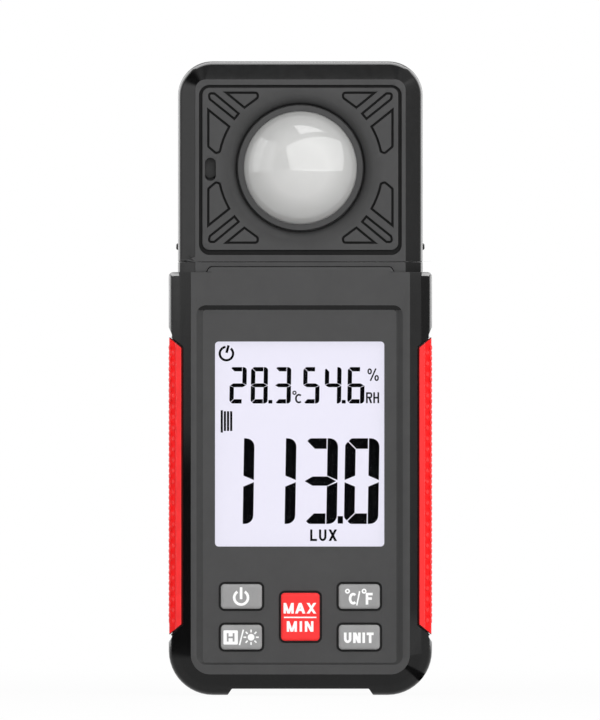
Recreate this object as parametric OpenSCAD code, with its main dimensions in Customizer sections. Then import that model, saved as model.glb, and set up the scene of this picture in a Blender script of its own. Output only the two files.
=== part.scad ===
// Handheld light meter, upright on its two feet with its display towards -Y.
// The sensor head swivels about an upright axis on a captured spigot.

/* [Case] */
// Width of the case
case_w = 73.8; // [71:0.2:84]
// Height of the case from its feet to its shoulders
case_h = 118.2; // [118:0.2:130]
// Depth of the case from its front face to its back
case_d = 28; // [27.5:0.5:36]
// Thickness of the moulded walls
wall = 2; // [1.8:0.1:2.2]
// Radius of the case's bottom corners
case_corner_r = 11.2; // [9.5:0.1:14]
// Radius of the case's shoulders
shoulder_r = 1.3; // [0.6:0.1:2]
// Width of the bevel round the case's front and back
case_bevel_w = 6.2; // [5:0.1:6.8]
// Depth of the bevel round the case's front and back
case_bevel_d = 4.6; // [4:0.1:5.6]
// Height of the relief between the feet
foot_h = 1.8; // [1:0.1:2.4]
// Width of the relief between the feet
foot_relief_w = 38.4; // [30:0.2:40]
// Distance from the panel's sides to the case's sides
panel_side = 8.1; // [7:0.1:9]
// Distance from the panel's ends to the case's ends
panel_margin = 9; // [8.4:0.1:10]
// Depth of the sunk front panel
panel_depth = 0.8; // [0.4:0.1:1]
// Width of the sloped edge of the front panel
panel_slope = 1.5; // [0.8:0.1:2]
// How far the front cover stands in front of the head and neck
cover_step = 1; // [0.8:0.1:1.4]
// Height of the cover's middle tab above the shoulders
tab_rise = 1.8; // [1.2:0.1:2.4]
// Distance from the cover's middle tab to the case's sides
tab_side = 10.3; // [9:0.1:13]

/* [Head] */
// Width of the head
head_w = 68.6; // [67:0.2:70]
// Height of the head above its seam
head_h = 55.7; // [55:0.1:62]
// Radius of the head's top corners
head_corner_r = 8.4; // [7.8:0.1:11]
// Width of the bevel round the head's faces
head_bevel_w = 4.8; // [4:0.1:5.4]
// Depth of the bevel round the head's faces
head_bevel_d = 3.8; // [3.2:0.1:4.6]
// Height of the neck above the shoulders
neck_h = 3.5; // [3.4:0.1:5]
// Gap at the seam between the head and the neck
seam_gap = 0.3; // [0.2:0.05:0.5]
// Width of the grooved panel on the head
head_panel_w = 56.6; // [55:0.2:57.4]
// Distance from the seam to the panel groove's lower edge
head_panel_foot = 1.4; // [1.2:0.1:2.4]
// Distance from the panel groove's upper edge to the head's top
head_panel_drop = 6.7; // [6.2:0.1:8]
// Width of the panel groove
groove_w = 0.9; // [0.6:0.1:1.2]
// Depth of the panel groove and the corner outlines
groove_depth = 0.6; // [0.3:0.1:0.9]
// Line width of the corner outlines
outline_w = 0.5; // [0.4:0.05:0.8]

/* [Light sensor] */
// Distance from the seam to the middle of the dome
dome_foot = 25.8; // [25.6:0.1:26]
// Radius of the dome where it leaves its ring
dome_r = 15.8; // [14.5:0.1:16.2]
// How far the dome stands out of the head's face
dome_rise = 7; // [5:0.1:9]
// Wall of the dome
dome_t = 2; // [1.4:0.1:2.6]
// Width of the ring round the dome
ring_w = 2.1; // [1.6:0.1:2.3]
// Depth of the dished surround
dish_depth = 1.9; // [1:0.1:2]
// Radius of the dished surround
dish_r = 22.2; // [21.4:0.1:22.4]
// Width of the sensor board
board_w = 55; // [53:0.5:57]
// Distance from the sensor board up to the upper head posts
board_drop = 3.6; // [2.8:0.1:4]
// Thickness of the sensor board
board_t = 1.2; // [1:0.1:1.6]
// Height of the holder between the dome and the board
holder_h = 5; // [4.6:0.1:5.6]
// Width of the opening over the humidity sensor
vent_w = 2.8; // [2.4:0.1:3]
// Height of the opening over the humidity sensor
vent_h = 6.4; // [5:0.1:7]
// Distance from the middle of the head to the humidity opening
vent_x = 25.2; // [25:0.1:25.3]

/* [Swivel] */
// Radius of the spigot
spigot_r = 8; // [7:0.1:8.6]
// Wall of the spigot
spigot_t = 2.8; // [2:0.1:3.2]
// Running clearance of the spigot in the collar
swivel_fit = 0.06; // [0.03:0.01:0.1]
// Angle that the head turns in all
swivel_turn = 270; // [180:10:290]
// Angle that the stop lug covers
lug_angle = 26; // [16:1:36]
// Thickness of the friction washer
washer_t = 0.5; // [0.4:0.05:0.7]

/* [Display] */
// Distance from the display opening to the case's sides
window_side = 13.15; // [12.9:0.05:15]
// Distance from the shoulders down to the display opening
window_drop = 18.9; // [18.5:0.1:22]
// Height of the opening's lower edge above the feet
window_z = 41.8; // [41.4:0.1:42.6]
// Margin of the display glass round the opening
glass_margin = 2.2; // [1.6:0.1:2.4]
// Thickness of the display glass
glass_t = 2.2; // [1.8:0.1:2.4]
// Thickness of the backlight
backlight_t = 2.5; // [2:0.1:2.6]
// Wall of the display frame
frame_t = 1.4; // [1:0.1:1.5]

/* [Keys] */
// Width of the grey keys
key_w = 12.2; // [11:0.1:12.6]
// Height of the grey keys
key_h = 7.6; // [7:0.1:7.9]
// Width of the red key
red_key_w = 11.5; // [10.5:0.1:12]
// Height of the red key
red_key_h = 14.1; // [13:0.1:15]
// Distance from the middle key to the outer keys
key_pitch_x = 16.5; // [16.2:0.1:16.8]
// Distance between the two rows of keys
key_pitch_z = 11.4; // [11.2:0.1:11.6]
// Height of the middle of the keys above the feet
key_z = 22; // [21.6:0.1:22.3]
// Radius of the key corners
key_corner_r = 1.3; // [0.8:0.1:2]
// How far the keys stand out of the sunk panel
key_rise = 1; // [0.8:0.1:1.4]
// Gap round each key
key_gap = 0.25; // [0.2:0.05:0.4]
// Travel of a pressed key
key_travel = 0.6; // [0.4:0.1:0.8]

/* [Grips] */
// Distance from the shoulders down to the grips' upper end
grip_drop = 17.4; // [16:0.1:24]
// Height of the grips' lower end above the feet
grip_z = 16.5; // [15.6:0.1:18]
// Width of the grip seen from the front
grip_w = 3.6; // [3:0.1:4.2]
// How far the grips stand off the bevels
grip_rise = 0.8; // [0.4:0.1:1]
// Depth of the seat that the grips lie in
grip_seat = 1; // [0.8:0.1:1.1]
// Height of the slanted grip ends
grip_slant = 2.9; // [2:0.1:4]

/* [Battery bay] */
// Length of a cell with its nub
cell_len = 44.5; // [43.5:0.1:45]
// Radius of a cell
cell_r = 5.25; // [5:0.05:5.25]
// Number of cells side by side
cells = 3; // [2:1:3]
// Height of the door's lower edge above the feet
door_z = 8; // [7.6:0.1:9]
// Thickness of the door
door_t = 2; // [1.8:0.1:2.2]
// Radius of the door's hinge barrel
barrel_r = 1.4; // [1.2:0.05:1.5]
// Radius of the door's hinge pins
pin_r = 0.8; // [0.6:0.05:0.9]
// Length of the battery springs under load
spring_len = 4; // [3:0.1:5]
// Height of the tripod socket above the feet
tripod_z = 84; // [78:0.5:88]
// Length of the tripod insert
insert_len = 8.6; // [7:0.1:9]
// Thread radius of the tripod insert
thread_r = 3.175; // [3.1:0.005:3.2]

/* [Electronics] */
// Distance from the main board to the case's sides
pcb_side = 10.6; // [10.5:0.1:11.4]
// Thickness of the main board
pcb_t = 1.6; // [1.2:0.1:1.8]
// Radius of the case screws
case_screw_r = 1.3; // [1.1:0.05:1.5]
// Radius of the board screws
board_screw_r = 0.95; // [0.8:0.05:1.1]

/* [Hidden] */
$fn = 64;
eps = 0.01;
far = 300;

// Clearances
part_fit = 0.1;
screw_fit = 0.05;
lid_gap = 0.25;
rest_gap = 0.15;

// Depths, with the origin under the middle of the whole depth
back_y = (case_d + dome_rise - cover_step) / 2;
face_y = back_y - case_d;
axis_y = (face_y + back_y) / 2;
split_y = axis_y - 1.5;
rear_end = 2 * axis_y - split_y;
head_face_y = face_y + cover_step;
panel_y = face_y + panel_depth;
wall_y = face_y + wall;
window_back_y = wall_y + 1;
glass_y = window_back_y + 0.3;
backlight_y = glass_y + glass_t;
frame_floor_y = backlight_y + backlight_t;
pcb_y = frame_floor_y + 0.8;
pcb_back_y = pcb_y + pcb_t;
door_in_y = back_y - door_t;
cell_y = door_in_y - 0.55 - cell_r;
bay_floor_y = cell_y - cell_r - rest_gap;
bay_wall = 1.4;
barrel_y = back_y - barrel_r;
barrel_z = door_z + barrel_r;

// Heights
neck_z = case_h + neck_h;
head_z = neck_z + seam_gap;
head_top_z = head_z + head_h;
head_panel_h = head_h - head_panel_foot - head_panel_drop;
dome_z = head_z + dome_foot;
head_floor_z = head_z + wall;
case_top_z = case_h - wall;
case_floor_z = foot_h + wall;
bay_z = door_z + 2 * barrel_r + 0.6;
contact_t = 0.5;
bay_len = cell_len + spring_len + 2 * contact_t + 0.1;
bay_top_z = bay_z + bay_len;
door_top_z = bay_top_z + 2;
window_h = case_h - window_drop - window_z;
window_w = case_w - 2 * window_side;
window_mid_z = window_z + window_h / 2;
grip_h = case_h - grip_drop - grip_z;
panel_w = case_w - 2 * panel_side;
panel_h = case_h - 2 * panel_margin;
panel_mid_z = case_h / 2;

// Battery bay and door
cell_pitch = 2 * cell_r + 0.7;
bay_w = cells * cell_pitch + 0.4;
door_w = bay_w + 4.8;
pin_len = 1.2;
frame_rim_w = door_w + 5.6;
latch_w = 10;

// Display stack
glass_w = window_w + 2 * glass_margin;
glass_h = window_h + 2 * glass_margin + 1;
frame_w = glass_w + 2 * part_fit + 2 * frame_t;
frame_h = glass_h + 2 * part_fit + 2 * frame_t;
zebra_h = 1.8;

// Keys: name order is power, hold, temperature, unit
flange_out = 0.9;
flange_t = 1;
key_front_y = panel_y - key_rise;
key_flange_y = wall_y + rest_gap;
key_back_y = key_flange_y + flange_t;
grey_keys = [[-1, 1], [-1, -1], [1, 1], [1, -1]];

// Boards and their screws
key_row_top = key_z + key_pitch_z / 2 + key_h / 2 + flange_out;
mid_post_z = (key_row_top + window_mid_z - frame_h / 2) / 2;
pcb_w = case_w - 2 * pcb_side;
pcb_bottom_z = case_floor_z + 3.2;
post_r = 2.2;
top_post_z = window_mid_z + frame_h / 2 + post_r + 0.35;
pcb_top_z = top_post_z + 2.4;
low_post_z = pcb_bottom_z + 2.2;
pcb_posts = [
    [-pcb_w / 2 + 3.7, top_post_z], [pcb_w / 2 - 3.7, top_post_z],
    [-key_pitch_x / 2, mid_post_z], [key_pitch_x / 2, mid_post_z],
    [-pcb_w / 2 + 4.3, low_post_z], [pcb_w / 2 - 4.3, low_post_z],
];
board_screw_len = 5;
board_head_r = 1.8;
board_head_h = 1.2;

// Case screws stand outside the main board
case_boss_r = 3;
case_boss_x = pcb_w / 2 + 0.3 + case_boss_r;
case_head_r = 2.4;
case_head_h = 1.8;
case_seat_y = split_y + 5;
case_screw_len = 12;

// Swivel
collar_fit_r = spigot_r + swivel_fit;
collar_flange_t = 2;
collar_flange_z = case_top_z - part_fit - collar_flange_t;
collar_bottom_z = collar_flange_z - 1.5;
case_bosses = [
    for (x = [-case_boss_x, case_boss_x], z = [case_corner_r + 1.8, collar_flange_z - case_boss_r - 0.5]) [x, z]
];
counterbore_z = neck_z - 2.6;
washer_z = counterbore_z;
lug_r = spigot_r + 4.5;
spigot_flange_r = spigot_r + 2.6;
spigot_flange_z = washer_z + washer_t + swivel_fit;
ring_groove_r = spigot_r - 1;
ring_t = 0.9;
ring_z = collar_bottom_z - rest_gap - ring_t;
spigot_z = ring_z - 1.6;
spigot_key = 2 * (spigot_r + 1.6);
spigot_key_t = 1.5;
stop_rib_angle = 360 - swivel_turn - lug_angle - 1;
lug_at = 90;
stop_rib_at = lug_at + 180 + (360 - swivel_turn) / 2;

// Light sensor, from the front inwards
ring_r = dome_r + ring_w;
ring_bore_r = dome_r + part_fit;
ring_front_y = head_face_y + 0.8;
ring_flange_y = head_face_y + wall + 0.6;
ring_flange_r = ring_r + 2.1;
ring_flange_t = 1.2;
dome_flange_y = ring_flange_y + ring_flange_t;
dome_flange_r = ring_r + 1.1;
dome_flange_t = 1.2;
dome_base_y = ring_front_y;
dome_sag = dome_base_y - (head_face_y - dome_rise);
dome_ball_r = (dome_r * dome_r + dome_sag * dome_sag) / (2 * dome_sag);
holder_y = dome_flange_y + dome_flange_t;
board_y = holder_y + holder_h;
board_back_y = board_y + board_t;
outline_arc_r = dish_r + 0.8;
outline_side = 2.5;
outline_top = 2.1;
boss_ring_r = ring_flange_r + 1.5;
filter_r = 6;
filter_t = 1.1;
diode_w = 8;
diode_t = 1.8;
connector_w = 9;
connector_bottom_z = head_floor_z + spigot_key_t + 1.1;
harness_r = 0.5;

// Head shells
head_split_y = axis_y + 4;
head_in_y = head_face_y + wall;
head_back_y = back_y - cover_step;
head_boss_r = 2.8;
head_boss_x = head_w / 2 - 7;
head_boss_low = head_floor_z + head_boss_r - 0.1;
head_boss_top = head_top_z - wall - head_boss_r - 1.4;
board_bottom_z = head_boss_low + head_boss_r + 0.5;
board_top_z = head_boss_top - head_boss_r - board_drop;
board_h = board_top_z - board_bottom_z;
board_mid_z = (board_bottom_z + board_top_z) / 2;
board_post_x = board_w / 2 - 3;
board_post_z = board_h / 2 - 3.3;
head_bosses = [
    for (x = [-head_boss_x, head_boss_x], z = [head_boss_low, head_boss_top]) [x, z]
];
head_screw_len = 10;
head_seat_y = head_split_y + 3;

// Colours
plastic = [0.2, 0.2, 0.2];
black = [0.08, 0.08, 0.08];
red = [0.85, 0.12, 0.12];
grey = [0.6, 0.6, 0.6];
steel = [0.72, 0.73, 0.75];
brass = [0.8, 0.65, 0.3];
board_green = [0.1, 0.35, 0.2];
milky = [0.92, 0.92, 0.9];

// ---------- Helpers ----------

// Fills y0 to y1 with a shape drawn in X and Z.
module from_front(y0, y1)
    translate([0, y1, 0]) rotate([90, 0, 0]) linear_extrude(y1 - y0) children();

// A cylinder along Y from y0 to y1.
module rod(r, y0, y1, x = 0, z = 0)
    translate([x, y0, z]) rotate([-90, 0, 0]) cylinder(r = r, h = y1 - y0);

// A box between two corners.
module block(low, high)
    translate(low) cube(high - low);

module rounded_rect(w, h, r) {
    square([w, h - 2 * r], center = true);
    square([w - 2 * r, h], center = true);
    for (x = [-1, 1], z = [-1, 1])
        translate([x * (w / 2 - r), z * (h / 2 - r)]) circle(r);
}

// A slot with round ends, upright.
module pill(w, h) {
    square([w, h - w], center = true);
    for (z = [-1, 1]) translate([0, z * (h - w) / 2]) circle(w / 2);
}

// One slice of a block whose outline shrinks from inset a[0] at depth a[1] to inset b[0] at depth b[1].
module bevel_slice(w, h, r, a, b) {
    half = [[w / 2 - a[0], w / 2 - b[0]], [h / 2 - a[0], h / 2 - b[0]]];
    rotate([90, 0, 90]) linear_extrude(w - 2 * r, center = true)
        polygon([[a[1], -half[1][0]], [a[1], half[1][0]], [b[1], half[1][1]], [b[1], -half[1][1]]]);
    linear_extrude(h - 2 * r, center = true)
        polygon([[-half[0][0], a[1]], [half[0][0], a[1]], [half[0][1], b[1]], [-half[0][1], b[1]]]);
    for (x = [-1, 1], z = [-1, 1])
        translate([x * (w / 2 - r), a[1], z * (h / 2 - r)]) rotate([-90, 0, 0])
            cylinder(r1 = r - a[0], r2 = r - b[0], h = b[1] - a[1]);
}

// A block w wide and h high round the middle height mid, with rounded corners and a stepped bevel.
module bevelled_block(w, h, r, mid, steps)
    translate([0, 0, mid])
        for (i = [0 : len(steps) - 2]) bevel_slice(w, h, r, steps[i], steps[i + 1]);

// Turns what is drawn on the front half into its mirror image on the back half.
module to_back()
    translate([0, axis_y, 0]) mirror([0, 1, 0]) translate([0, -axis_y, 0]) children();

// A bevel with its outer edge broken twice, so that it reads as rounded.
function soft_bevel(w, d, y, back) = [
    [w, y], [0.9, y + d * (1 - 0.9 / w)], [0.25, y + d + 0.2], [0, y + d + 1.4], [0, back]
];

module screw(head_r, head_h, shank_r, length) {
    difference() {
        cylinder(r = head_r, h = head_h);
        for (a = [0, 90]) rotate(a)
            translate([-head_r * 0.6, -0.25, head_h * 0.5]) cube([head_r * 1.2, 0.5, head_h]);
    }
    translate([0, 0, -length]) cylinder(r = shank_r, h = length);
}

// A screw along Y whose head stands on seat_y, towards the back.
module screw_at(x, z, seat_y, head_r, head_h, shank_r, length)
    translate([x, seat_y, z]) rotate([-90, 0, 0]) screw(head_r, head_h, shank_r, length);

// A closed outline moved inwards by d; its points run anticlockwise.
function left_of(a, b) = let (u = (b - a) / norm(b - a)) [-u[1], u[0]];
function shifted(points, d) = let (n = len(points)) [for (i = [0 : n - 1]) let (
    before = left_of(points[(i + n - 1) % n], points[i]),
    after = left_of(points[i], points[(i + 1) % n])
) points[i] + (before + after) * d / (1 + before * after)];

// A line of width w along a closed outline.
module closed_line(points, w)
    difference() {
        polygon(shifted(points, -w / 2));
        polygon(shifted(points, w / 2));
    }

function arc(r, from, to, steps) =
    [for (i = [0 : steps]) let (a = from + (to - from) * i / steps) r * [cos(a), sin(a)]];

// ---------- Case ----------

// The case's outer form from the front face to the depth end, with the shoulders cut flat.
module case_form(end = split_y) {
    over = 30;
    intersection() {
        bevelled_block(case_w, case_h + over, case_corner_r, (case_h + over) / 2,
            soft_bevel(case_bevel_w, case_bevel_d, face_y, end));
        from_front(face_y - 1, end + 1) translate([0, case_h / 2 - over / 2])
            rounded_rect(case_w, case_h + over, shoulder_r);
    }
}

// The room inside the case, a little past the depth end.
module case_room(end = split_y) {
    over = 30;
    inner_r = case_corner_r - wall;
    intersection() {
        bevelled_block(case_w - 2 * wall, case_h - case_floor_z + over, inner_r, (case_floor_z + case_h + over) / 2, [
            [min(case_bevel_w, inner_r - 0.5), wall_y], [0, wall_y + case_bevel_d], [0, end + eps]
        ]);
        block([-far, -far, 0], [far, far, case_top_z]);
    }
}

module foot_relief() {
    w = foot_relief_w / 2;
    from_front(-far, far)
        polygon([[-w - 1.2, -1], [w + 1.2, -1], [w + 1.2, 0], [w, foot_h], [-w, foot_h], [-w - 1.2, 0]]);
}

// The opening in the case's top that the neck collar is clamped in.
module collar_opening()
    block([-collar_foot[0] - part_fit, axis_y - collar_foot[1] - part_fit, case_top_z - 1],
        [collar_foot[0] + part_fit, axis_y + collar_foot[1] + part_fit, case_h + 1]);

// Half sizes of the neck collar's foot in the opening and of its flange under it.
collar_foot = [case_w / 2 - 9.9, axis_y - head_face_y - 4];
collar_flange = collar_foot + [3.4, 1.4];

// The sunk panel with its sloped edge, as a cutter.
module panel_cutter() {
    corner = 2.5;
    bevelled_block(panel_w, panel_h, corner, panel_mid_z, [
        [0, face_y - eps], [panel_slope, panel_y]
    ]);
}

// The cover's tab that rises in front of the neck, with a chamfered edge.
module cover_tab() {
    half = case_w / 2 - tab_side;
    top = case_h + tab_rise;
    edge = cover_step;
    difference() {
        from_front(face_y, head_face_y - rest_gap / 2)
            polygon([
                [-half, case_h - 1], [-half, case_h - 0.5], [-half + 1.1, top],
                [half - 1.1, top], [half, case_h - 0.5], [half, case_h - 1]
            ]);
        translate([0, face_y, top]) rotate([45, 0, 0]) cube([far, edge, edge], center = true);
    }
}

// The seat of a right-hand grip, as a profile across the side of the case.
function bevel_y(x) = face_y + (x - case_w / 2 + case_bevel_w) / case_bevel_w * case_bevel_d;
grip_in_x = case_w / 2 - 0.1 - grip_w;

function half_ring(profile) = concat(profile, [
    for (i = [len(profile) - 1 : -1 : 0]) [profile[i][0], 2 * axis_y - profile[i][1]]
]);

function seat_profile(depth) = [
    [grip_in_x, bevel_y(grip_in_x) - 2], [grip_in_x, bevel_y(grip_in_x) + depth * 0.8],
    [case_w / 2 - depth, bevel_y(case_w / 2) + depth * 0.5]
];

module grip_outline(gap) {
    low = grip_z - gap;
    high = grip_z + grip_h + gap;
    outer = case_w / 2 + 2;
    inner = grip_in_x - 1;
    slope = grip_slant / grip_w;
    polygon([
        [inner, low + slope * (case_w / 2 - inner)], [inner, high - slope * (case_w / 2 - inner)],
        [case_w / 2, high], [outer, high + slope * 2], [outer, low - slope * 2], [case_w / 2, low]
    ]);
}

// What is cut from the case for one grip.
module grip_seat_cutter()
    intersection() {
        linear_extrude(case_h) polygon(concat(half_ring(seat_profile(grip_seat)), [
            [case_w, 2 * axis_y - face_y + 5], [case_w, face_y - 5]
        ]));
        from_front(face_y - 5, back_y + 5) grip_outline(part_fit);
    }

module grip_seats() {
    grip_seat_cutter();
    mirror([1, 0, 0]) grip_seat_cutter();
}

module key_openings() {
    for (k = grey_keys)
        from_front(face_y - 1, wall_y + 1)
            translate([k[0] * key_pitch_x, key_z + k[1] * key_pitch_z / 2])
                rounded_rect(key_w + 2 * key_gap, key_h + 2 * key_gap, key_corner_r + key_gap);
    from_front(face_y - 1, wall_y + 1) translate([0, key_z])
        rounded_rect(red_key_w + 2 * key_gap, red_key_h + 2 * key_gap, key_corner_r + key_gap);
}

module front_case() {
    color(plastic)
    difference() {
        union() {
            difference() {
                case_form();
                case_room();
            }
            intersection() {
                union() {
                    for (b = case_bosses) rod(case_boss_r, face_y + 1.4, split_y, b[0], b[1]);
                    for (p = pcb_posts) rod(post_r, face_y + 1.4, pcb_y, p[0], p[1]);
                }
                case_form();
            }
            cover_tab();
        }
        panel_cutter();
        from_front(face_y - 1, wall_y + 1) translate([0, window_mid_z]) rounded_rect(window_w, window_h, 1);
        key_openings();
        foot_relief();
        collar_opening();
        grip_seats();
        for (b = case_bosses) rod(case_screw_r + screw_fit, case_seat_y - case_screw_len - 1, split_y + 1, b[0], b[1]);
        for (p = pcb_posts) rod(board_screw_r + screw_fit, pcb_back_y - board_screw_len - 0.5, pcb_y + 1, p[0], p[1]);
    }
}

module rear_case() {
    rim_y = door_in_y - rest_gap;
    frame_y = rim_y - 1.6;
    boss_r = tripod_outer_r + 2.4;
    color(plastic)
    difference() {
        union() {
            to_back() difference() {
                case_form(rear_end);
                case_room(rear_end);
            }
            // Battery bay with its rim under the door
            intersection() {
                union() {
                    block([-bay_w / 2 - bay_wall, bay_floor_y - bay_wall, bay_z - bay_wall],
                        [bay_w / 2 + bay_wall, back_y - wall + eps, bay_top_z + bay_wall]);
                    block([-frame_rim_w / 2, frame_y, door_z - 1.4], [frame_rim_w / 2, back_y - wall + eps, door_top_z + 2]);
                }
                to_back() case_form(rear_end);
            }
            for (b = case_bosses) rod(case_boss_r + 0.3, split_y, back_y - 1, b[0], b[1]);
            rod(boss_r, back_y - insert_len - 2, back_y - 1, 0, tripod_z);
        }
        // Room for the cells, and the door's opening
        block([-bay_w / 2, bay_floor_y, bay_z], [bay_w / 2, back_y + 1, bay_top_z]);
        block([-door_w / 2 - lid_gap, rim_y, barrel_z], [door_w / 2 + lid_gap, back_y + 1, door_top_z + lid_gap]);
        translate([-door_w / 2 - lid_gap, barrel_y, barrel_z]) rotate([0, 90, 0])
            cylinder(r = barrel_r + lid_gap, h = door_w + 2 * lid_gap);
        block([-door_w / 2 - lid_gap, barrel_y, barrel_z - barrel_r - lid_gap],
            [door_w / 2 + lid_gap, back_y + 1, barrel_z + eps]);
        translate([-door_w / 2 - pin_len - lid_gap, barrel_y, barrel_z]) rotate([0, 90, 0])
            cylinder(r = pin_r + 0.08, h = door_w + 2 * (pin_len + lid_gap));
        latch_room();
        foot_relief();
        collar_opening();
        grip_seats();
        for (b = case_bosses) {
            rod(case_screw_r + 0.2, split_y - 1, case_seat_y + 1, b[0], b[1]);
            rod(case_head_r + 0.2, case_seat_y, back_y + 1, b[0], b[1]);
        }
        rod(tripod_outer_r, back_y - insert_len, back_y + 1, 0, tripod_z);
    }
}

module case_screws()
    color(steel) for (b = case_bosses)
        screw_at(b[0], b[1], case_seat_y, case_head_r, case_head_h, case_screw_r, case_screw_len);

// A right-hand grip: a soft strip round the side of the case with slanted ends.
module grip_strip() {
    fit = part_fit;
    lip = [
        [grip_in_x + fit, bevel_y(grip_in_x) + grip_seat * 0.8 - fit],
        [grip_in_x + fit, bevel_y(grip_in_x) + 0.1],
        [grip_in_x + fit + 0.9, bevel_y(grip_in_x + 0.9) - grip_rise],
        [case_w / 2 - 0.9, bevel_y(case_w / 2 - 0.9) - grip_rise + 0.2],
        [case_w / 2 - 0.1, bevel_y(case_w / 2) + 0.3]
    ];
    seat = [for (p = seat_profile(grip_seat)) p + [fit, -fit]];
    intersection() {
        linear_extrude(case_h) polygon(concat(half_ring(lip), [
            [seat[1][0], 2 * axis_y - seat[1][1]], [seat[2][0], 2 * axis_y - seat[2][1]],
            [seat[2][0], seat[2][1]], [seat[1][0], seat[1][1]]
        ]));
        from_front(face_y - 5, back_y + 5) grip_outline(0);
    }
}

module grip_right() color(red) grip_strip();
module grip_left() color(red) mirror([1, 0, 0]) grip_strip();

// ---------- Neck and swivel ----------

// The head's cross-section as a plain prism, from its face to its back.
module head_prism(z0, z1)
    translate([0, 0, z0]) linear_extrude(z1 - z0) polygon(let (
        half = head_w / 2,
        steps = soft_bevel(head_bevel_w, head_bevel_d, head_face_y, axis_y),
        front = [for (s = steps) [half - s[0], s[1]]],
        right = concat(front, [for (i = [len(front) - 2 : -1 : 0]) [front[i][0], 2 * axis_y - front[i][1]]])
    ) concat(right, [for (i = [len(right) - 1 : -1 : 0]) [-right[i][0], right[i][1]]]));

// A sector of a ring round the swivel axis.
module ring_sector(r0, r1, z0, z1, middle, angle)
    translate([0, axis_y, z0]) rotate([0, 0, middle - angle / 2])
        rotate_extrude(angle = angle) translate([r0, 0]) square([r1 - r0, z1 - z0]);

module neck_collar() {
    color(plastic)
    difference() {
        union() {
            head_prism(case_h, neck_z);
            block([-collar_foot[0], axis_y - collar_foot[1], collar_flange_z],
                [collar_foot[0], axis_y + collar_foot[1], case_h]);
            block([-collar_flange[0], axis_y - collar_flange[1], collar_flange_z],
                [collar_flange[0], axis_y + collar_flange[1], collar_flange_z + collar_flange_t]);
            translate([0, axis_y, collar_bottom_z]) cylinder(r = spigot_r + 2.4, h = 3);
        }
        translate([0, axis_y, collar_bottom_z - 1]) cylinder(r = collar_fit_r, h = neck_z);
        difference() {
            translate([0, axis_y, counterbore_z]) cylinder(r = lug_r + 0.3, h = neck_h);
            ring_sector(spigot_flange_r + 0.2, lug_r + 1, counterbore_z - 1, neck_z + 1, stop_rib_at, stop_rib_angle);
        }
    }
}

module swivel_spigot() {
    key = spigot_key / 2;
    color(black)
    difference() {
        union() {
            translate([0, axis_y, spigot_z]) cylinder(r = spigot_r, h = head_floor_z - spigot_z + eps);
            block([-key, axis_y - key, head_floor_z], [key, axis_y + key, head_floor_z + spigot_key_t]);
            translate([0, axis_y, spigot_flange_z]) cylinder(r = spigot_flange_r, h = head_z - spigot_flange_z);
            ring_sector(spigot_r, lug_r, spigot_flange_z, head_z, lug_at, lug_angle);
        }
        translate([0, axis_y, spigot_z - 1]) cylinder(r = spigot_r - spigot_t, h = head_h);
        translate([0, axis_y, ring_z - screw_fit]) difference() {
            cylinder(r = spigot_r + 1, h = ring_t + 2 * screw_fit);
            cylinder(r = ring_groove_r, h = ring_t + 2 * screw_fit);
        }
    }
}

module swivel_washer()
    color(brass) translate([0, axis_y, washer_z]) difference() {
        cylinder(r = spigot_flange_r - 0.2, h = washer_t);
        translate([0, 0, -1]) cylinder(r = spigot_r + 0.2, h = washer_t + 2);
    }

module swivel_retaining_ring()
    color(steel) translate([0, axis_y, ring_z]) difference() {
        cylinder(r = spigot_r + 1.8, h = ring_t);
        translate([0, 0, -1]) cylinder(r = ring_groove_r + screw_fit, h = ring_t + 2);
        translate([-ring_groove_r * 0.7, 0, -1]) cube([ring_groove_r * 1.4, far, ring_t + 2]);
    }

// ---------- Display ----------

module lcd_window() {
    flange = glass_margin + 0.2;
    color([0.75, 0.8, 0.85])
    union() {
        from_front(panel_y + 0.1, wall_y) translate([0, window_mid_z])
            rounded_rect(window_w - 2 * part_fit, window_h - 2 * part_fit, 0.9);
        from_front(wall_y, window_back_y) translate([0, window_mid_z])
            square([window_w + 2 * flange, window_h + 2 * flange], center = true);
    }
}

module lcd_glass() {
    half = glass_t / 2;
    color([0.85, 0.87, 0.95])
    union() {
        from_front(glass_y, glass_y + half) translate([0, window_mid_z]) square([glass_w, glass_h - 5], center = true);
        from_front(glass_y + half, glass_y + glass_t) translate([0, window_mid_z]) square([glass_w, glass_h], center = true);
    }
}

module lcd_backlight()
    color([0.95, 0.95, 1])
    from_front(backlight_y, frame_floor_y) translate([0, window_mid_z])
        square([glass_w - 2 * part_fit, glass_h - 2 * zebra_h - 2], center = true);

module lcd_frame() {
    zebra_z = glass_h / 2 - zebra_h / 2 - 0.1;
    color(milky)
    difference() {
        from_front(glass_y, pcb_y) translate([0, window_mid_z]) square([frame_w, frame_h], center = true);
        from_front(glass_y - 1, backlight_y) translate([0, window_mid_z])
            square([glass_w + 2 * part_fit, glass_h + 2 * part_fit], center = true);
        from_front(backlight_y - eps, frame_floor_y) translate([0, window_mid_z])
            square([glass_w, glass_h - 2 * zebra_h - 1.8], center = true);
        for (s = [-1, 1])
            from_front(backlight_y - eps, pcb_y + 1) translate([0, window_mid_z + s * zebra_z])
                square([glass_w - 4 + 2 * part_fit, zebra_h + 2 * part_fit], center = true);
    }
}

module zebra_strips()
    color([0.9, 0.5, 0.7]) for (s = [-1, 1])
        from_front(backlight_y, pcb_y) translate([0, window_mid_z + s * (glass_h / 2 - zebra_h / 2 - 0.1)])
            square([glass_w - 4, zebra_h], center = true);

// ---------- Boards ----------

module main_board()
    color(board_green)
    difference() {
        block([-pcb_w / 2, pcb_y, pcb_bottom_z], [pcb_w / 2, pcb_back_y, pcb_top_z]);
        for (p = pcb_posts) rod(board_screw_r + 0.15, pcb_y - 1, pcb_back_y + 1, p[0], p[1]);
    }

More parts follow.
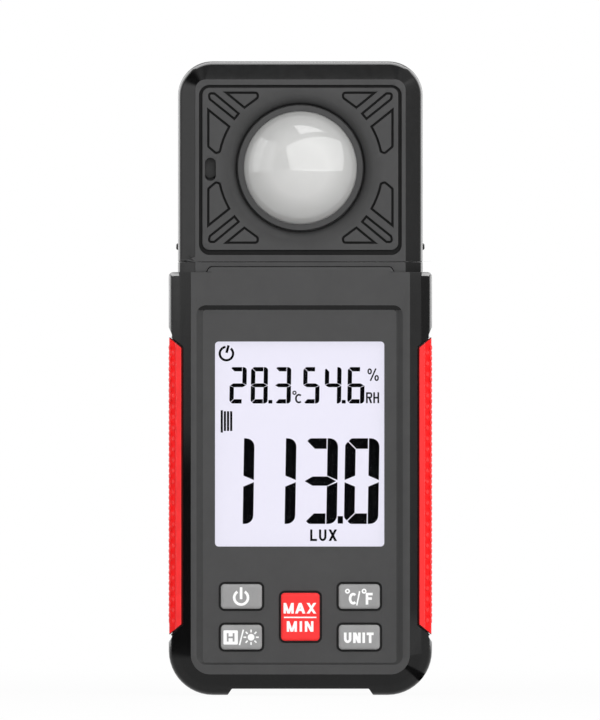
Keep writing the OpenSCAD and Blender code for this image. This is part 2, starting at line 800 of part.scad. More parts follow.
module board_components() {
    chip = [10, 1.4, 10];
    color(black) union() {
        block([-chip[0] / 2, pcb_back_y, tripod_z - 15], [chip[0] / 2, pcb_back_y + chip[1], tripod_z - 15 + chip[2]]);
    }
    color(steel)
        block([-14, pcb_back_y, tripod_z - 14], [-11, pcb_back_y + 1.2, tripod_z - 6]);
    color([0.75, 0.6, 0.4]) for (i = [0 : 3])
        block([11, pcb_back_y, tripod_z - 15 + 3 * i], [13, pcb_back_y + 0.9, tripod_z - 13.8 + 3 * i]);
    color([0.1, 0.1, 0.1])
        rod(3.2, pcb_back_y, pcb_back_y + 1.8, -14, tripod_z + 4);
}

module board_screws()
    color(steel) for (p = pcb_posts)
        screw_at(p[0], p[1], pcb_back_y, board_head_r, board_head_h, board_screw_r, board_screw_len);

module harness_connector()
    color(milky)
    block([-connector_w / 2, pcb_back_y, spigot_z - 7.5], [connector_w / 2, axis_y + 2.2, spigot_z - 3.2]);

// Five wires that run up the middle of the swivel.
module sensor_harness() {
    low = spigot_z - 3.2;
    high = connector_bottom_z - seam_gap;
    color([0.8, 0.2, 0.2]) for (i = [0 : 4])
        translate([1.1 * cos(72 * i), axis_y + 1.1 * sin(72 * i), low]) cylinder(r = harness_r, h = high - low);
}

// ---------- Keys ----------

module key_cap(w, h, x, z, shade) {
    edge = 0.4;
    color(shade) translate([x, 0, z])
    union() {
        bevelled_block(w, h, key_corner_r, 0, [[edge, key_front_y], [0, key_front_y + edge], [0, key_flange_y]]);
        from_front(key_flange_y, key_back_y)
            rounded_rect(w + 2 * flange_out, h + 2 * flange_out, key_corner_r + flange_out);
    }
}

module grey_key(side, row) key_cap(key_w, key_h, side * key_pitch_x, key_z + row * key_pitch_z / 2, grey);

module power_key() grey_key(-1, 1);
module hold_key() grey_key(-1, -1);
module temperature_key() grey_key(1, 1);
module unit_key() grey_key(1, -1);
module max_min_key() key_cap(red_key_w, red_key_h, 0, key_z, red);

// Rubber mat with one hollow dome under each key.
module keypad_mat() {
    top_y = key_back_y + 0.05;
    sheet_y = pcb_y - 0.8;
    spots = concat([for (k = grey_keys) [k[0] * key_pitch_x, key_z + k[1] * key_pitch_z / 2]], [[0, key_z]]);
    mat_h = key_pitch_z + key_h + 2 * flange_out;
    color([0.35, 0.35, 0.38])
    difference() {
        union() {
            from_front(sheet_y, pcb_y) translate([0, key_z])
                square([2 * key_pitch_x + key_w, mat_h - 0.6], center = true);
            for (s = spots) {
                rod(2.2, top_y, sheet_y, s[0], s[1]);
                translate([s[0], sheet_y + eps, s[1]]) rotate([90, 0, 0]) cylinder(r1 = 3.4, r2 = 2.2, h = 2);
            }
        }
        for (s = spots) rod(2, pcb_y - key_travel - 0.9, pcb_y + 1, s[0], s[1]);
    }
}

// ---------- Battery bay ----------

// Cells point up and down by turns.
function cell_x(i) = (i - (cells - 1) / 2) * cell_pitch;
function points_up(i) = i % 2 == 0;

// Places a part drawn for an upright cell, whose lower end is its negative one, at bay number i.
module in_bay(i)
    translate([cell_x(i), cell_y, points_up(i) ? bay_z : bay_top_z]) mirror([0, 0, points_up(i) ? 0 : 1]) children();

module battery_cells() {
    nub = 1;
    color([0.2, 0.35, 0.6]) for (i = [0 : cells - 1]) in_bay(i)
        translate([0, 0, contact_t + spring_len]) union() {
            cylinder(r = cell_r, h = cell_len - nub);
            cylinder(r = 1.9, h = cell_len);
        }
}

// Points of a spring wire's ring at a share t of its length.
function spring_ring(t, r0, r1, turns, length, wire) = let (
    a = 360 * turns * t,
    r = r0 + (r1 - r0) * t,
    rise = length * min(1, max(0, (t - 0.12) / 0.76))
) [for (k = [0 : 5]) [(r + wire * cos(60 * k)) * cos(a), (r + wire * cos(60 * k)) * sin(a), wire + rise + wire * sin(60 * k)]];

// A conical wire spring, closed flat at both ends.
module wire_spring(r0, r1, turns, length, wire) {
    steps = turns * 14;
    rings = [for (i = [0 : steps]) spring_ring(i / steps, r0, r1, turns, length - 2 * wire, wire)];
    polyhedron(
        points = [for (r = rings) each r],
        faces = concat(
            [[for (k = [0 : 5]) k]],
            [for (i = [0 : steps - 1], k = [0 : 5])
                [6 * i + k, 6 * (i + 1) + k, 6 * (i + 1) + (k + 1) % 6, 6 * i + (k + 1) % 6]],
            [[for (k = [5 : -1 : 0]) 6 * steps + k]]
        )
    );
}

module battery_springs()
    color(steel) for (i = [0 : cells - 1]) in_bay(i)
        translate([0, 0, contact_t]) wire_spring(3.6, 2.4, 4, spring_len, 0.3);

// One plate at each end of each cell.
module battery_contacts() {
    half = cell_r - 0.6;
    color(steel) for (i = [0 : cells - 1]) in_bay(i) {
        block([-half, -half, 0], [half, half, contact_t]);
        block([-half, -half, bay_len - contact_t], [half, half, bay_len]);
    }
}

module battery_door() {
    color(plastic)
    difference() {
        union() {
            block([-door_w / 2, door_in_y, barrel_z], [door_w / 2, back_y, door_top_z]);
            translate([-door_w / 2, barrel_y, barrel_z]) rotate([0, 90, 0]) cylinder(r = barrel_r, h = door_w);
            translate([-door_w / 2 - pin_len, barrel_y, barrel_z]) rotate([0, 90, 0])
                cylinder(r = pin_r, h = door_w + 2 * pin_len);
        }
        // Finger grooves above the latch
        for (i = [0 : 3])
            block([-9, back_y - 0.5, door_top_z - 4 - 1.8 * i], [9, back_y + 1, door_top_z - 3.2 - 1.8 * i]);
    }
}

// The springy tongue that hooks the top of the door behind the case's back wall.
module battery_door_latch() {
    y0 = door_in_y - 3;
    color(plastic)
    union() {
        block([-latch_w / 2, y0, door_top_z - 1.6], [latch_w / 2, door_in_y, door_top_z - 0.6]);
        block([-latch_w / 2, door_in_y - 1.4, door_top_z - 0.6 - eps], [latch_w / 2, door_in_y - 0.3, door_top_z + lid_gap + 0.6]);
    }
}

module latch_room()
    block([-latch_w / 2 - 0.4, door_in_y - 3.4, door_top_z - 2.4], [latch_w / 2 + 0.4, door_in_y, door_top_z + lid_gap + 1]);

tripod_outer_r = thread_r + 1.6;

module tripod_insert()
    color(brass)
    difference() {
        rod(tripod_outer_r - screw_fit, back_y - insert_len, back_y - 0.2, 0, tripod_z);
        rod(thread_r, back_y - insert_len + 1, back_y + 1, 0, tripod_z);
        for (y = [2.4, 5.4]) translate([0, back_y - y - 0.6, tripod_z]) rotate([-90, 0, 0]) difference() {
            cylinder(r = tripod_outer_r + 1, h = 0.8);
            cylinder(r = tripod_outer_r - 0.5, h = 0.8);
        }
    }

// ---------- Head ----------

module head_form() {
    over = 30;
    intersection() {
        bevelled_block(head_w, head_h + over, head_corner_r, head_top_z - (head_h + over) / 2,
            soft_bevel(head_bevel_w, head_bevel_d, head_face_y, axis_y));
        block([-far, -far, head_z], [far, far, far]);
    }
}

module head_room() {
    over = 30;
    inner_r = head_corner_r - wall;
    intersection() {
        bevelled_block(head_w - 2 * wall, head_h - wall + over, inner_r, head_top_z - wall - (head_h - wall + over) / 2, [
            [min(head_bevel_w, inner_r - 0.5), head_in_y], [0, head_in_y + head_bevel_d], [0, axis_y + eps]
        ]);
        block([-far, -far, head_floor_z], [far, far, far]);
    }
}

// The head as one hollow form; the shells take their share of it.
module head_hollow() {
    difference() {
        union() {
            head_form();
            to_back() head_form();
        }
        head_room();
        to_back() head_room();
    }
}

// One corner's three outlines, for the top left, measured from the middle of the dome.
module corner_outlines(w) {
    x = outline_side - head_panel_w / 2;
    z = min(head_h - head_panel_drop - dome_foot, dome_foot - head_panel_foot) - outline_top;
    bar = [for (a = [143.5, 138.8]) outline_arc_r * [cos(a), sin(a)]];
    closed_line(concat(bar, [[x + 1.7, z - 0.3], [x + 0.6, z - 0.3], [x + 0.2, z - 0.8], [x + 0.4, z - 1.7]]), w);
    closed_line([outline_arc_r * [cos(133), sin(133)], [-12.3, z - 1.7], [-12.1, z - 0.9], [-13, z - 0.1], [-20.8, z - 0.1]], w);
    closed_line(concat([[x, z - 4.9], [x, 6], [x + 2.2, 4.2], [x + 2.9, 4.4]], arc(outline_arc_r, 169, 150, 4)), w);
}

// The surround curves down towards the ring in three slopes.
module dish() {
    inner_r = ring_r + part_fit + 0.5;
    steps = [[0, 0], [0.4, 0.08], [0.75, 0.34], [1, 1]];
    for (i = [0 : 2])
        let (a = steps[i], b = steps[i + 1]) translate([0, 0, a[1] * dish_depth - eps])
            cylinder(r1 = dish_r + (inner_r - dish_r) * a[0], r2 = dish_r + (inner_r - dish_r) * b[0],
                h = (b[1] - a[1]) * dish_depth + eps);
}

module head_grooves() {
    corner = 2.6;
    from_front(head_face_y - 1, head_face_y + groove_depth) {
        translate([0, head_z + head_panel_foot + head_panel_h / 2]) difference() {
            rounded_rect(head_panel_w, head_panel_h, corner);
            translate([0, groove_w / 4]) rounded_rect(head_panel_w - 2 * groove_w, head_panel_h - 2.5 * groove_w, corner - groove_w);
        }
        translate([0, dome_z]) for (x = [0, 1], z = [0, 1])
            mirror([x, 0]) mirror([0, z]) corner_outlines(outline_w);
    }
}

module index_bumps()
    for (s = [-1, 1]) translate([s * (head_w / 2 - 0.4), axis_y, head_z + 3.7])
        rotate([0, s * 90, 0]) cylinder(r1 = 0.9, r2 = 0.7, h = 1);

module head_front_shell() {
    color(plastic)
    difference() {
        union() {
            intersection() {
                head_hollow();
                block([-far, -far, 0], [far, head_split_y, far]);
            }
            // Collar behind the dished surround, and the posts for screws
            rod(boss_ring_r, head_face_y + 1.4, holder_y, 0, dome_z);
            for (x = [-1, 1], z = [-1, 1])
                rod(2.1, head_face_y + 1.4, board_y, x * board_post_x, board_mid_z + z * board_post_z);
            intersection() {
                for (b = head_bosses) rod(head_boss_r, head_face_y + 1.4, head_split_y, b[0], b[1]);
                union() {
                    head_form();
                    to_back() head_form();
                }
            }
            for (z = [-1, 1]) rod(1, head_face_y + 1.4, vent_board_y, -vent_x - 0.6, dome_z + z * 3.6);
            index_bumps();
        }
        translate([0, head_face_y, dome_z]) rotate([-90, 0, 0]) {
            dish();
            cylinder(r = ring_r + part_fit, h = far);
        }
        rod(ring_flange_r + part_fit, ring_flange_y, holder_y + 1, 0, dome_z);
        from_front(head_face_y - 1, head_in_y + 1) translate([-vent_x, dome_z]) pill(vent_w, vent_h);
        head_grooves();
        translate([0, axis_y, head_z - 1]) cylinder(r = spigot_r + part_fit, h = wall + 2);
        for (x = [-1, 1], z = [-1, 1])
            rod(board_screw_r + screw_fit, board_back_y - board_screw_len - 0.5, board_y + 1,
                x * board_post_x, board_mid_z + z * board_post_z);
        for (b = head_bosses) rod(board_screw_r + screw_fit, head_seat_y - head_screw_len - 0.5, head_split_y + 1, b[0], b[1]);
    }
}

module head_rear_shell() {
    key = spigot_key / 2 + part_fit;
    color(plastic)
    difference() {
        union() {
            intersection() {
                head_hollow();
                block([-far, head_split_y, 0], [far, far, far]);
            }
            intersection() {
                for (b = head_bosses) rod(head_boss_r, head_split_y, head_back_y - 1, b[0], b[1]);
                to_back() head_form();
            }
            // Ribs that keep the spigot's square top from turning
            for (s = [-1, 1]) translate([s * (key + 0.7) - 0.7, head_split_y, head_floor_z - eps])
                cube([1.4, head_back_y - wall - head_split_y + eps, spigot_key_t]);
        }
        translate([0, axis_y, head_z - 1]) cylinder(r = spigot_r + part_fit, h = wall + 2);
        for (b = head_bosses) {
            rod(board_screw_r + 0.2, head_split_y - 1, head_seat_y + 1, b[0], b[1]);
            rod(board_head_r + 0.2, head_seat_y, head_back_y + 1, b[0], b[1]);
        }
    }
}

module head_screws()
    color(steel) for (b = head_bosses)
        screw_at(b[0], b[1], head_seat_y, board_head_r, board_head_h, board_screw_r, head_screw_len);

// ---------- Light sensor ----------

// A dome of wall dome_t whose rim is trapped behind the ring.
module diffuser_dome()
    color(milky)
    translate([0, dome_base_y, dome_z]) rotate([90, 0, 0])
    difference() {
        union() {
            intersection() {
                translate([0, 0, dome_sag - dome_ball_r]) sphere(r = dome_ball_r, $fn = 96);
                cylinder(r = dome_r, h = dome_sag + 1);
            }
            translate([0, 0, dome_base_y - dome_flange_y - dome_flange_t])
                cylinder(r = dome_r, h = dome_flange_y + dome_flange_t - dome_base_y + eps);
            translate([0, 0, dome_base_y - dome_flange_y - dome_flange_t]) cylinder(r = dome_flange_r, h = dome_flange_t);
        }
        intersection() {
            translate([0, 0, dome_sag - dome_ball_r]) sphere(r = dome_ball_r - dome_t, $fn = 96);
            translate([0, 0, -eps]) cylinder(r = dome_r - dome_t, h = dome_sag);
        }
        translate([0, 0, -dome_flange_t * 4]) cylinder(r = dome_r - dome_t, h = dome_flange_t * 4);
    }

module dome_ring()
    color(plastic)
    translate([0, 0, dome_z]) rotate([-90, 0, 0]) difference() {
        union() {
            translate([0, 0, ring_front_y]) cylinder(r1 = ring_r - 0.3, r2 = ring_r, h = 0.3);
            translate([0, 0, ring_front_y + 0.3 - eps]) cylinder(r = ring_r, h = ring_flange_y - ring_front_y);
            translate([0, 0, ring_flange_y]) cylinder(r = ring_flange_r, h = ring_flange_t);
        }
        translate([0, 0, head_face_y - 1]) cylinder(r = ring_bore_r, h = far);
    }

// The black cup that keeps the filter over the photodiode and presses the dome into its ring.
module sensor_holder() {
    floor_y = board_y - diode_t - 2;
    color(black)
    difference() {
        rod(dome_flange_r, holder_y, board_y, 0, dome_z);
        rod(dome_r - dome_t, holder_y - 1, floor_y, 0, dome_z);
        rod(filter_r + part_fit, floor_y - 1, floor_y + filter_t, 0, dome_z);
        rod(filter_r - 1, floor_y - 1, board_y + 1, 0, dome_z);
        block([-diode_w / 2 - 0.2, board_y - diode_t - 0.2, dome_z - diode_w / 2 - 0.2],
            [diode_w / 2 + 0.2, board_y + 1, dome_z + diode_w / 2 + 0.2]);
    }
}

module colour_filter() {
    floor_y = board_y - diode_t - 2;
    color([0.35, 0.6, 0.5]) rod(filter_r, floor_y, floor_y + filter_t, 0, dome_z);
}

module photodiode()
    color([0.15, 0.15, 0.2])
    block([-diode_w / 2, board_y - diode_t, dome_z - diode_w / 2], [diode_w / 2, board_y, dome_z + diode_w / 2]);

module sensor_board()
    color(board_green)
    difference() {
        block([-board_w / 2, board_y, board_mid_z - board_h / 2], [board_w / 2, board_back_y, board_mid_z + board_h / 2]);
        for (x = [-1, 1], z = [-1, 1])
            rod(board_screw_r + 0.15, board_y - 1, board_back_y + 1, x * board_post_x, board_mid_z + z * board_post_z);
    }

module sensor_board_screws()
    color(steel) for (x = [-1, 1], z = [-1, 1])
        screw_at(x * board_post_x, board_mid_z + z * board_post_z, board_back_y,
            board_head_r, board_head_h, board_screw_r, board_screw_len);

// The plug under the sensor board, over the middle of the swivel.
module sensor_connector()
    color(milky)
    block([-connector_w / 2, board_back_y, connector_bottom_z],
        [connector_w / 2, max(axis_y + 1.8, board_back_y + 3), board_mid_z - board_h / 2 + 2.5]);

// Behind the pill-shaped opening: a membrane, then the humidity sensor on its small board.
vent_board_y = head_in_y + 0.4 + 1.3;

module humidity_vent()
    color([0.85, 0.85, 0.85])
    from_front(head_in_y, head_in_y + 0.4) translate([-vent_x, dome_z]) pill(vent_w + 0.6, vent_h - 0.9);

module humidity_sensor() {
    color([0.1, 0.3, 0.2]) block([-vent_x - 3.6, vent_board_y, dome_z - 4.8], [-vent_x + 2.2, vent_board_y + 0.8, dome_z + 4.8]);
    color([0.2, 0.2, 0.2]) block([-vent_x - 1.3, vent_board_y - 1, dome_z - 1.3], [-vent_x + 1.3, vent_board_y, dome_z + 1.3]);
}

front_case();
rear_case();
case_screws();
grip_left();
grip_right();
neck_collar();
lcd_window();
lcd_glass();
lcd_backlight();
lcd_frame();
zebra_strips();
main_board();
board_components();
board_screws();
harness_connector();
sensor_harness();
keypad_mat();
power_key();
hold_key();
max_min_key();
temperature_key();
unit_key();
battery_cells();
battery_springs();
battery_contacts();
battery_door();
battery_door_latch();
tripod_insert();
swivel_spigot();
swivel_washer();
swivel_retaining_ring();
head_front_shell();
head_rear_shell();
head_screws();
diffuser_dome();
dome_ring();
sensor_holder();
colour_filter();
photodiode();
sensor_board();
sensor_board_screws();
sensor_connector();
humidity_sensor();
humidity_vent();
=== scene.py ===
"""Looks of the handheld light meter: its covers, keys, grips, display and light sensor.

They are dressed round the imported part. Lengths in the helpers are in millimetres, and a mesh is scaled to
metres when it is made. The meter's face looks along -Y.
"""

import math

import bmesh
import bpy
from mathutils import Matrix, Vector


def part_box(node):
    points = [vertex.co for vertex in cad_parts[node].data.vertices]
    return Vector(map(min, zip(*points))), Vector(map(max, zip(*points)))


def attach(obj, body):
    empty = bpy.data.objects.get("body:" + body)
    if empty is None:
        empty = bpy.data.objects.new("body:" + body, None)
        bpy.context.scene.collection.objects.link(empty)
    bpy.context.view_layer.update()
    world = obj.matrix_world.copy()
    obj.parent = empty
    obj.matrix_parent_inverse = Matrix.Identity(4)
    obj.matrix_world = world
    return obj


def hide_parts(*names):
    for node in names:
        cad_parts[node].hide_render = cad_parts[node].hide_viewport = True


bl_info = {
    "name": "Handheld light meter",
    "version": (1, 0, 0),
    "blender": (4, 5, 0),
    "location": "3D View > Sidebar > Light meter",
    "description": "Builds the covers, keys, grips, display and light sensor of a handheld light meter",
    "category": "Object",
}

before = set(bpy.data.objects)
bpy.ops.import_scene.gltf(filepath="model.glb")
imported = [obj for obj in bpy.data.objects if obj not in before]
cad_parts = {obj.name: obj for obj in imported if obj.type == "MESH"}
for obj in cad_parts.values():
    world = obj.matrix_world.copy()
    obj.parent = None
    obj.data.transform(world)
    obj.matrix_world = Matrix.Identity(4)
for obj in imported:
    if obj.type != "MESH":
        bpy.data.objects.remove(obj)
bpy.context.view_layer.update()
MM = 0.001
TINY = 1e-6


def low(node, axis):
    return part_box(node)[0]["xyz".index(axis)] / MM


def high(node, axis):
    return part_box(node)[1]["xyz".index(axis)] / MM


def middle(node, axis):
    return (low(node, axis) + high(node, axis)) / 2


# Levels that the pieces share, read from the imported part
CASE_FACE = low("front_case", "y")
CASE_BACK = high("rear_case", "y")
CASE_HALF = high("rear_case", "x")
CASE_TOP = high("rear_case", "z")
CASE_SPLIT = low("rear_case", "y")
AXIS_Y = middle("swivel_spigot", "y")
NECK_TOP = high("neck_collar", "z")
HEAD_FACE = low("neck_collar", "y")
HEAD_BACK = high("head_rear_shell", "y")
HEAD_HALF = high("head_rear_shell", "x")
HEAD_TOP = high("head_rear_shell", "z")
HEAD_SPLIT = low("head_rear_shell", "y")
DOME_Z = middle("diffuser_dome", "z")
TAB_TOP = high("front_case", "z")

# The head's covers reach a little lower than its solids, so that the seam is a fine line
HEAD_LOW = low("head_rear_shell", "z") - 0.51
# The case's shoulders stand a little above its solids
CROWN = CASE_TOP + 0.4

KEYS = ("power_key", "hold_key", "max_min_key", "temperature_key", "unit_key")

# The grips' inner and outer reach across the case, and their ends at the case's side
GRIP_IN = 32.85
GRIP_OUT = CASE_HALF - 0.14
GRIP_LOW = 16.5
GRIP_HIGH = 100.8

# A cutter reaches this far past what it cuts
PAST = 1.0


# ---------- Settings ----------


def tint(name, description, default):
    return bpy.props.FloatVectorProperty(name=name, description=description, subtype="COLOR", default=default)


def length(name, description, default):
    return bpy.props.FloatProperty(
        name=name, description=description, default=default * MM, unit="LENGTH", precision=5
    )


class MeterFinishes(bpy.types.PropertyGroup):
    """Colours of the meter's finishes"""

    face: tint("Cover faces", "Colour of the grained faces", (0.0415, 0.0415, 0.042))
    smooth: tint("Cover bevels", "Colour of the smooth bevels and sides", (0.004, 0.004, 0.0041))
    grip: tint("Grips", "Colour of the soft grips", (0.9, 0.028, 0.029))
    red_key: tint("Red key", "Colour of the middle key", (0.86, 0.028, 0.029))
    grey_key: tint("Grey keys", "Colour of the outer keys", (0.282, 0.282, 0.282))
    legend: tint("Legends", "Colour of the key legends", (0.88, 0.88, 0.88))
    dome: tint("Dome", "Colour of the light-diffusing dome", (0.53, 0.53, 0.522))
    display: tint("Display", "Colour of the display's ground", (0.12, 0.115, 0.135))
    ink: tint("Display ink", "Colour of a switched-on segment", (0.0006, 0.0006, 0.0008))


class MeterSizes(bpy.types.PropertyGroup):
    """Sizes of the covers"""

    case_bevel_w: length("Case bevel width", "Width of the bevel round the case's faces", 6.2)
    case_bevel_d: length("Case bevel depth", "Depth of the bevel round the case's faces", 4.6)
    case_corner: length("Case corners", "Radius of the case's lower corners", 12.4)
    shoulder: length("Shoulders", "Radius of the case's shoulders", 1.3)
    head_bevel_w: length("Head bevel width", "Width of the bevel round the head's faces", 4.8)
    head_bevel_d: length("Head bevel depth", "Depth of the bevel round the head's faces", 3.8)
    head_corner: length("Head corners", "Radius of the head's upper corners", 9.6)
    wall: length("Wall", "Thickness of the moulded covers", 2.0)
    panel_depth: length("Panel depth", "Depth of the sunk front panel", 0.8)
    groove_depth: length("Groove depth", "Depth of the head's panel groove and corner lines", 0.6)
    edge: length("Edge rounding", "Rounding of the covers' cut edges", 0.14)


class MeterGrip(bpy.types.PropertyGroup):
    """Sizes of the studs on the grips"""

    pitch: length("Stud pitch", "Distance between studs along the grip", 3.0)
    step: length("Column step", "Distance between columns of studs round the side", 1.5)
    radius: length("Stud size", "Half width of a stud", 0.8)
    height: length("Stud height", "How far a stud stands out", 0.13)


def size(name):
    return getattr(bpy.context.scene.meter_sizes, name) / MM


# ---------- Meshes ----------


def place(name, mesh, *looks):
    piece = bpy.data.objects.new(name, mesh)
    bpy.context.scene.collection.objects.link(piece)
    for look in looks:
        mesh.materials.append(look)
    return piece


def mesh_of(name, points, faces, bands=None):
    """A closed mesh from points in millimetres, its faces turned outwards."""
    mesh = bpy.data.meshes.new(name)
    mesh.from_pydata([Vector(p) * MM for p in points], [], faces)
    if bands:
        mesh.polygons.foreach_set("material_index", bands)
    work = bmesh.new()
    work.from_mesh(mesh)
    bmesh.ops.recalc_face_normals(work, faces=work.faces)
    work.to_mesh(mesh)
    work.free()
    return mesh


def loft(name, rings, bands=None, around=False, caps=(0, 0)):
    """Skins rings of equal counts; around joins the last ring to the first, and leaves out the caps."""
    count = len(rings[0])
    points = [p for ring in rings for p in ring]
    faces, marks = [], []
    for k in range(len(rings) if around else len(rings) - 1):
        first, second = k * count, ((k + 1) % len(rings)) * count
        for i in range(count):
            j = (i + 1) % count
            faces.append((first + i, first + j, second + j, second + i))
            marks.append(bands[k] if bands else 0)
    if not around:
        faces.append(tuple(reversed(range(count))))
        faces.append(tuple(range(len(points) - count, len(points))))
        marks += caps
    return mesh_of(name, points, faces, marks)


def arc(x, z, rx, rz, start, sweep, steps):
    """Points along part of an oval; its angles are in radians from the right."""
    angles = [start + sweep * k / steps for k in range(steps + 1)]
    return [(x + rx * math.cos(a), z + rz * math.sin(a)) for a in angles]


def circle(radius, x=0.0, z=0.0, steps=32):
    return arc(x, z, radius, radius, 0.0, math.tau, steps)[:-1]


def at_depth(outline, y):
    return [(x, y, z) for x, z in outline]


def turned(name, profile, x=0.0, z=0.0, steps=96, closed=False):
    """Turns (radius, y) points round an axis along Y; a point of no radius becomes a pole."""
    points, rows = [], []
    for radius, y in profile:
        ring = circle(radius, x, z, steps) if radius > TINY else [(x, z)]
        rows.append(range(len(points), len(points) + len(ring)))
        points += at_depth(ring, y)
    faces = []
    for a, b in zip(rows, rows[1:] + (rows[:1] if closed else [])):
        for k in range(steps):
            n = (k + 1) % steps
            quad = (a[k % len(a)], a[n % len(a)], b[n % len(b)], b[k % len(b)])
            faces.append(tuple(dict.fromkeys(quad)))
    return mesh_of(name, points, faces)


def rounded(corners, radii, steps=6, closed=True):
    """The line through the corners, each one rounded to its radius."""
    corners = [Vector(c) for c in corners]
    radii = [radii] * len(corners) if isinstance(radii, (int, float)) else radii
    line = []
    for i, corner in enumerate(corners):
        if radii[i] <= 0 or (not closed and i in (0, len(corners) - 1)):
            line.append(tuple(corner))
            continue
        back = (corners[i - 1] - corner).normalized()
        on = (corners[(i + 1) % len(corners)] - corner).normalized()
        half = back.angle(on) / 2
        centre = corner + (back + on).normalized() * radii[i] / math.sin(half)
        start = corner + back * radii[i] / math.tan(half) - centre
        end = corner + on * radii[i] / math.tan(half) - centre
        turn = math.atan2(start.x * end.y - start.y * end.x, start.dot(end))
        for k in range(steps + 1):
            c, s = math.cos(turn * k / steps), math.sin(turn * k / steps)
            line.append((centre.x + start.x * c - start.y * s, centre.y + start.x * s + start.y * c))
    return line


def rectangle(left, right, bottom, top, radii=0.0, steps=8):
    """Runs from the lower left corner over the lower right one; radii is one radius or four."""
    return rounded([(left, bottom), (right, bottom), (right, top), (left, top)], radii, steps)


def inset(outline, depth):
    """The same closed outline moved inwards, with mitred corners; it runs anticlockwise."""
    moved = []
    for i, point in enumerate(outline):
        p, a, b = (Vector(q) for q in (point, outline[i - 1], outline[(i + 1) % len(outline)]))
        before, after = (p - a).normalized().orthogonal(), (b - p).normalized().orthogonal()
        moved.append(tuple(p + (before + after) * depth / (1 + before.dot(after))))
    return moved


def runs_clockwise(outline):
    return sum(a[0] * b[1] - b[0] * a[1] for a, b in zip(outline, outline[1:] + outline[:1])) < 0


def prism(name, outline, front, back):
    return loft(name, [at_depth(outline, front), at_depth(outline, back)])


def channel(name, corners, radii, width, front, back):
    """A closed line of some width sunk from front to back, a little narrower at the bottom."""
    taper, least_radius = 0.8, 0.06

    def side(offset):
        return rounded(inset(corners, offset), [r and max(least_radius, r - offset) for r in radii], 4)

    half = width / 2
    levels = ((-half, front), (-half * taper, back), (half * taper, back), (half, front))
    return loft(name, [at_depth(side(offset), y) for offset, y in levels], around=True)


def joined(name, meshes):
    """One mesh out of several, with their finishes kept apart by slot number."""
    whole = bmesh.new()
    for mesh in meshes:
        whole.from_mesh(mesh)
        bpy.data.meshes.remove(mesh)
    mesh = bpy.data.meshes.new(name)
    whole.to_mesh(mesh)
    whole.free()
    return mesh


def settle(piece):
    """Turns the modifiers' result into the piece's own plain mesh."""
    graph = bpy.context.evaluated_depsgraph_get()
    shown = piece.evaluated_get(graph)
    mesh = bpy.data.meshes.new_from_object(shown, preserve_all_data_layers=True, depsgraph=graph)
    old, piece.data = piece.data, mesh
    piece.modifiers.clear()
    if old.users == 0:
        bpy.data.meshes.remove(old)
    mesh.name = piece.name
    return piece


def combine(piece, mesh, look=None, operation="DIFFERENCE"):
    """Cuts a mesh away from the piece, or adds it; the cut takes the look."""
    tool = place("tool", mesh)
    if look:
        mesh.materials.append(look)
    change = piece.modifiers.new("change", "BOOLEAN")
    change.operation, change.solver, change.object = operation, "EXACT", tool
    change.material_mode = "TRANSFER"
    settle(piece)
    bpy.data.objects.remove(tool)
    bpy.data.meshes.remove(mesh)


def cut(piece, mesh, look=None):
    combine(piece, mesh, look)


def taken(piece):
    """The mesh of a helper piece, which goes."""
    mesh = piece.data.copy()
    bpy.data.objects.remove(piece)
    return mesh


def welded(mesh):
    """The mesh opened for work with its doubles merged, because a CAD node's triangles are loose."""
    work = bmesh.new()
    work.from_mesh(mesh)
    bmesh.ops.remove_doubles(work, verts=work.verts, dist=TINY)
    return work


def clean(piece, merge=0.004):
    """Merges doubles and joins coplanar faces, so that an edge can be rounded evenly."""
    flat_angle = math.radians(0.3)
    work = bmesh.new()
    work.from_mesh(piece.data)
    bmesh.ops.remove_doubles(work, verts=work.verts, dist=merge * MM)
    bmesh.ops.dissolve_degenerate(work, edges=work.edges, dist=merge * MM)
    bmesh.ops.dissolve_limit(
        work, angle_limit=flat_angle, verts=work.verts, edges=work.edges, delimit={"MATERIAL"}
    )
    bmesh.ops.triangulate(work, faces=[face for face in work.faces if len(face.verts) > 4])
    work.to_mesh(piece.data)
    work.free()


def smooth(piece, angle=40):
    """Shades the piece smooth between the edges that are sharper than an angle."""
    mesh = piece.data
    mesh.polygons.foreach_set("use_smooth", [True] * len(mesh.polygons))
    mesh.set_sharp_from_angle(angle=math.radians(angle))
    normals = piece.modifiers.new("normals", "WEIGHTED_NORMAL")
    normals.keep_sharp, normals.weight = True, 50
    settle(piece)


def soften(piece, width=0.12, angle=32):
    """Rounds the piece's edges and shades it smooth between them."""
    if width:
        edge = piece.modifiers.new("edge", "BEVEL")
        edge.width, edge.segments, edge.limit_method = width * MM, 2, "ANGLE"
        edge.angle_limit, edge.use_clamp_overlap, edge.loop_slide = math.radians(angle), False, False
        settle(piece)
    smooth(piece, angle + 10)


def dressed_node(node, name, look, width, angle):
    """A copy of a CAD node with its edges rounded, which stands for the node."""
    piece = place(name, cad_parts[node].data.copy())
    piece.data.materials.clear()
    piece.data.materials.append(look)
    work = welded(piece.data)
    work.to_mesh(piece.data)
    work.free()
    clean(piece, 0.002)
    soften(piece, width, angle)
    return piece


def wear(piece, body, slot, *nodes):
    """The piece moves with a body and stands for CAD nodes, which it hides; its slot is not used."""
    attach(piece, body)
    if nodes:
        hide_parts(*nodes)


# ---------- Node trees ----------


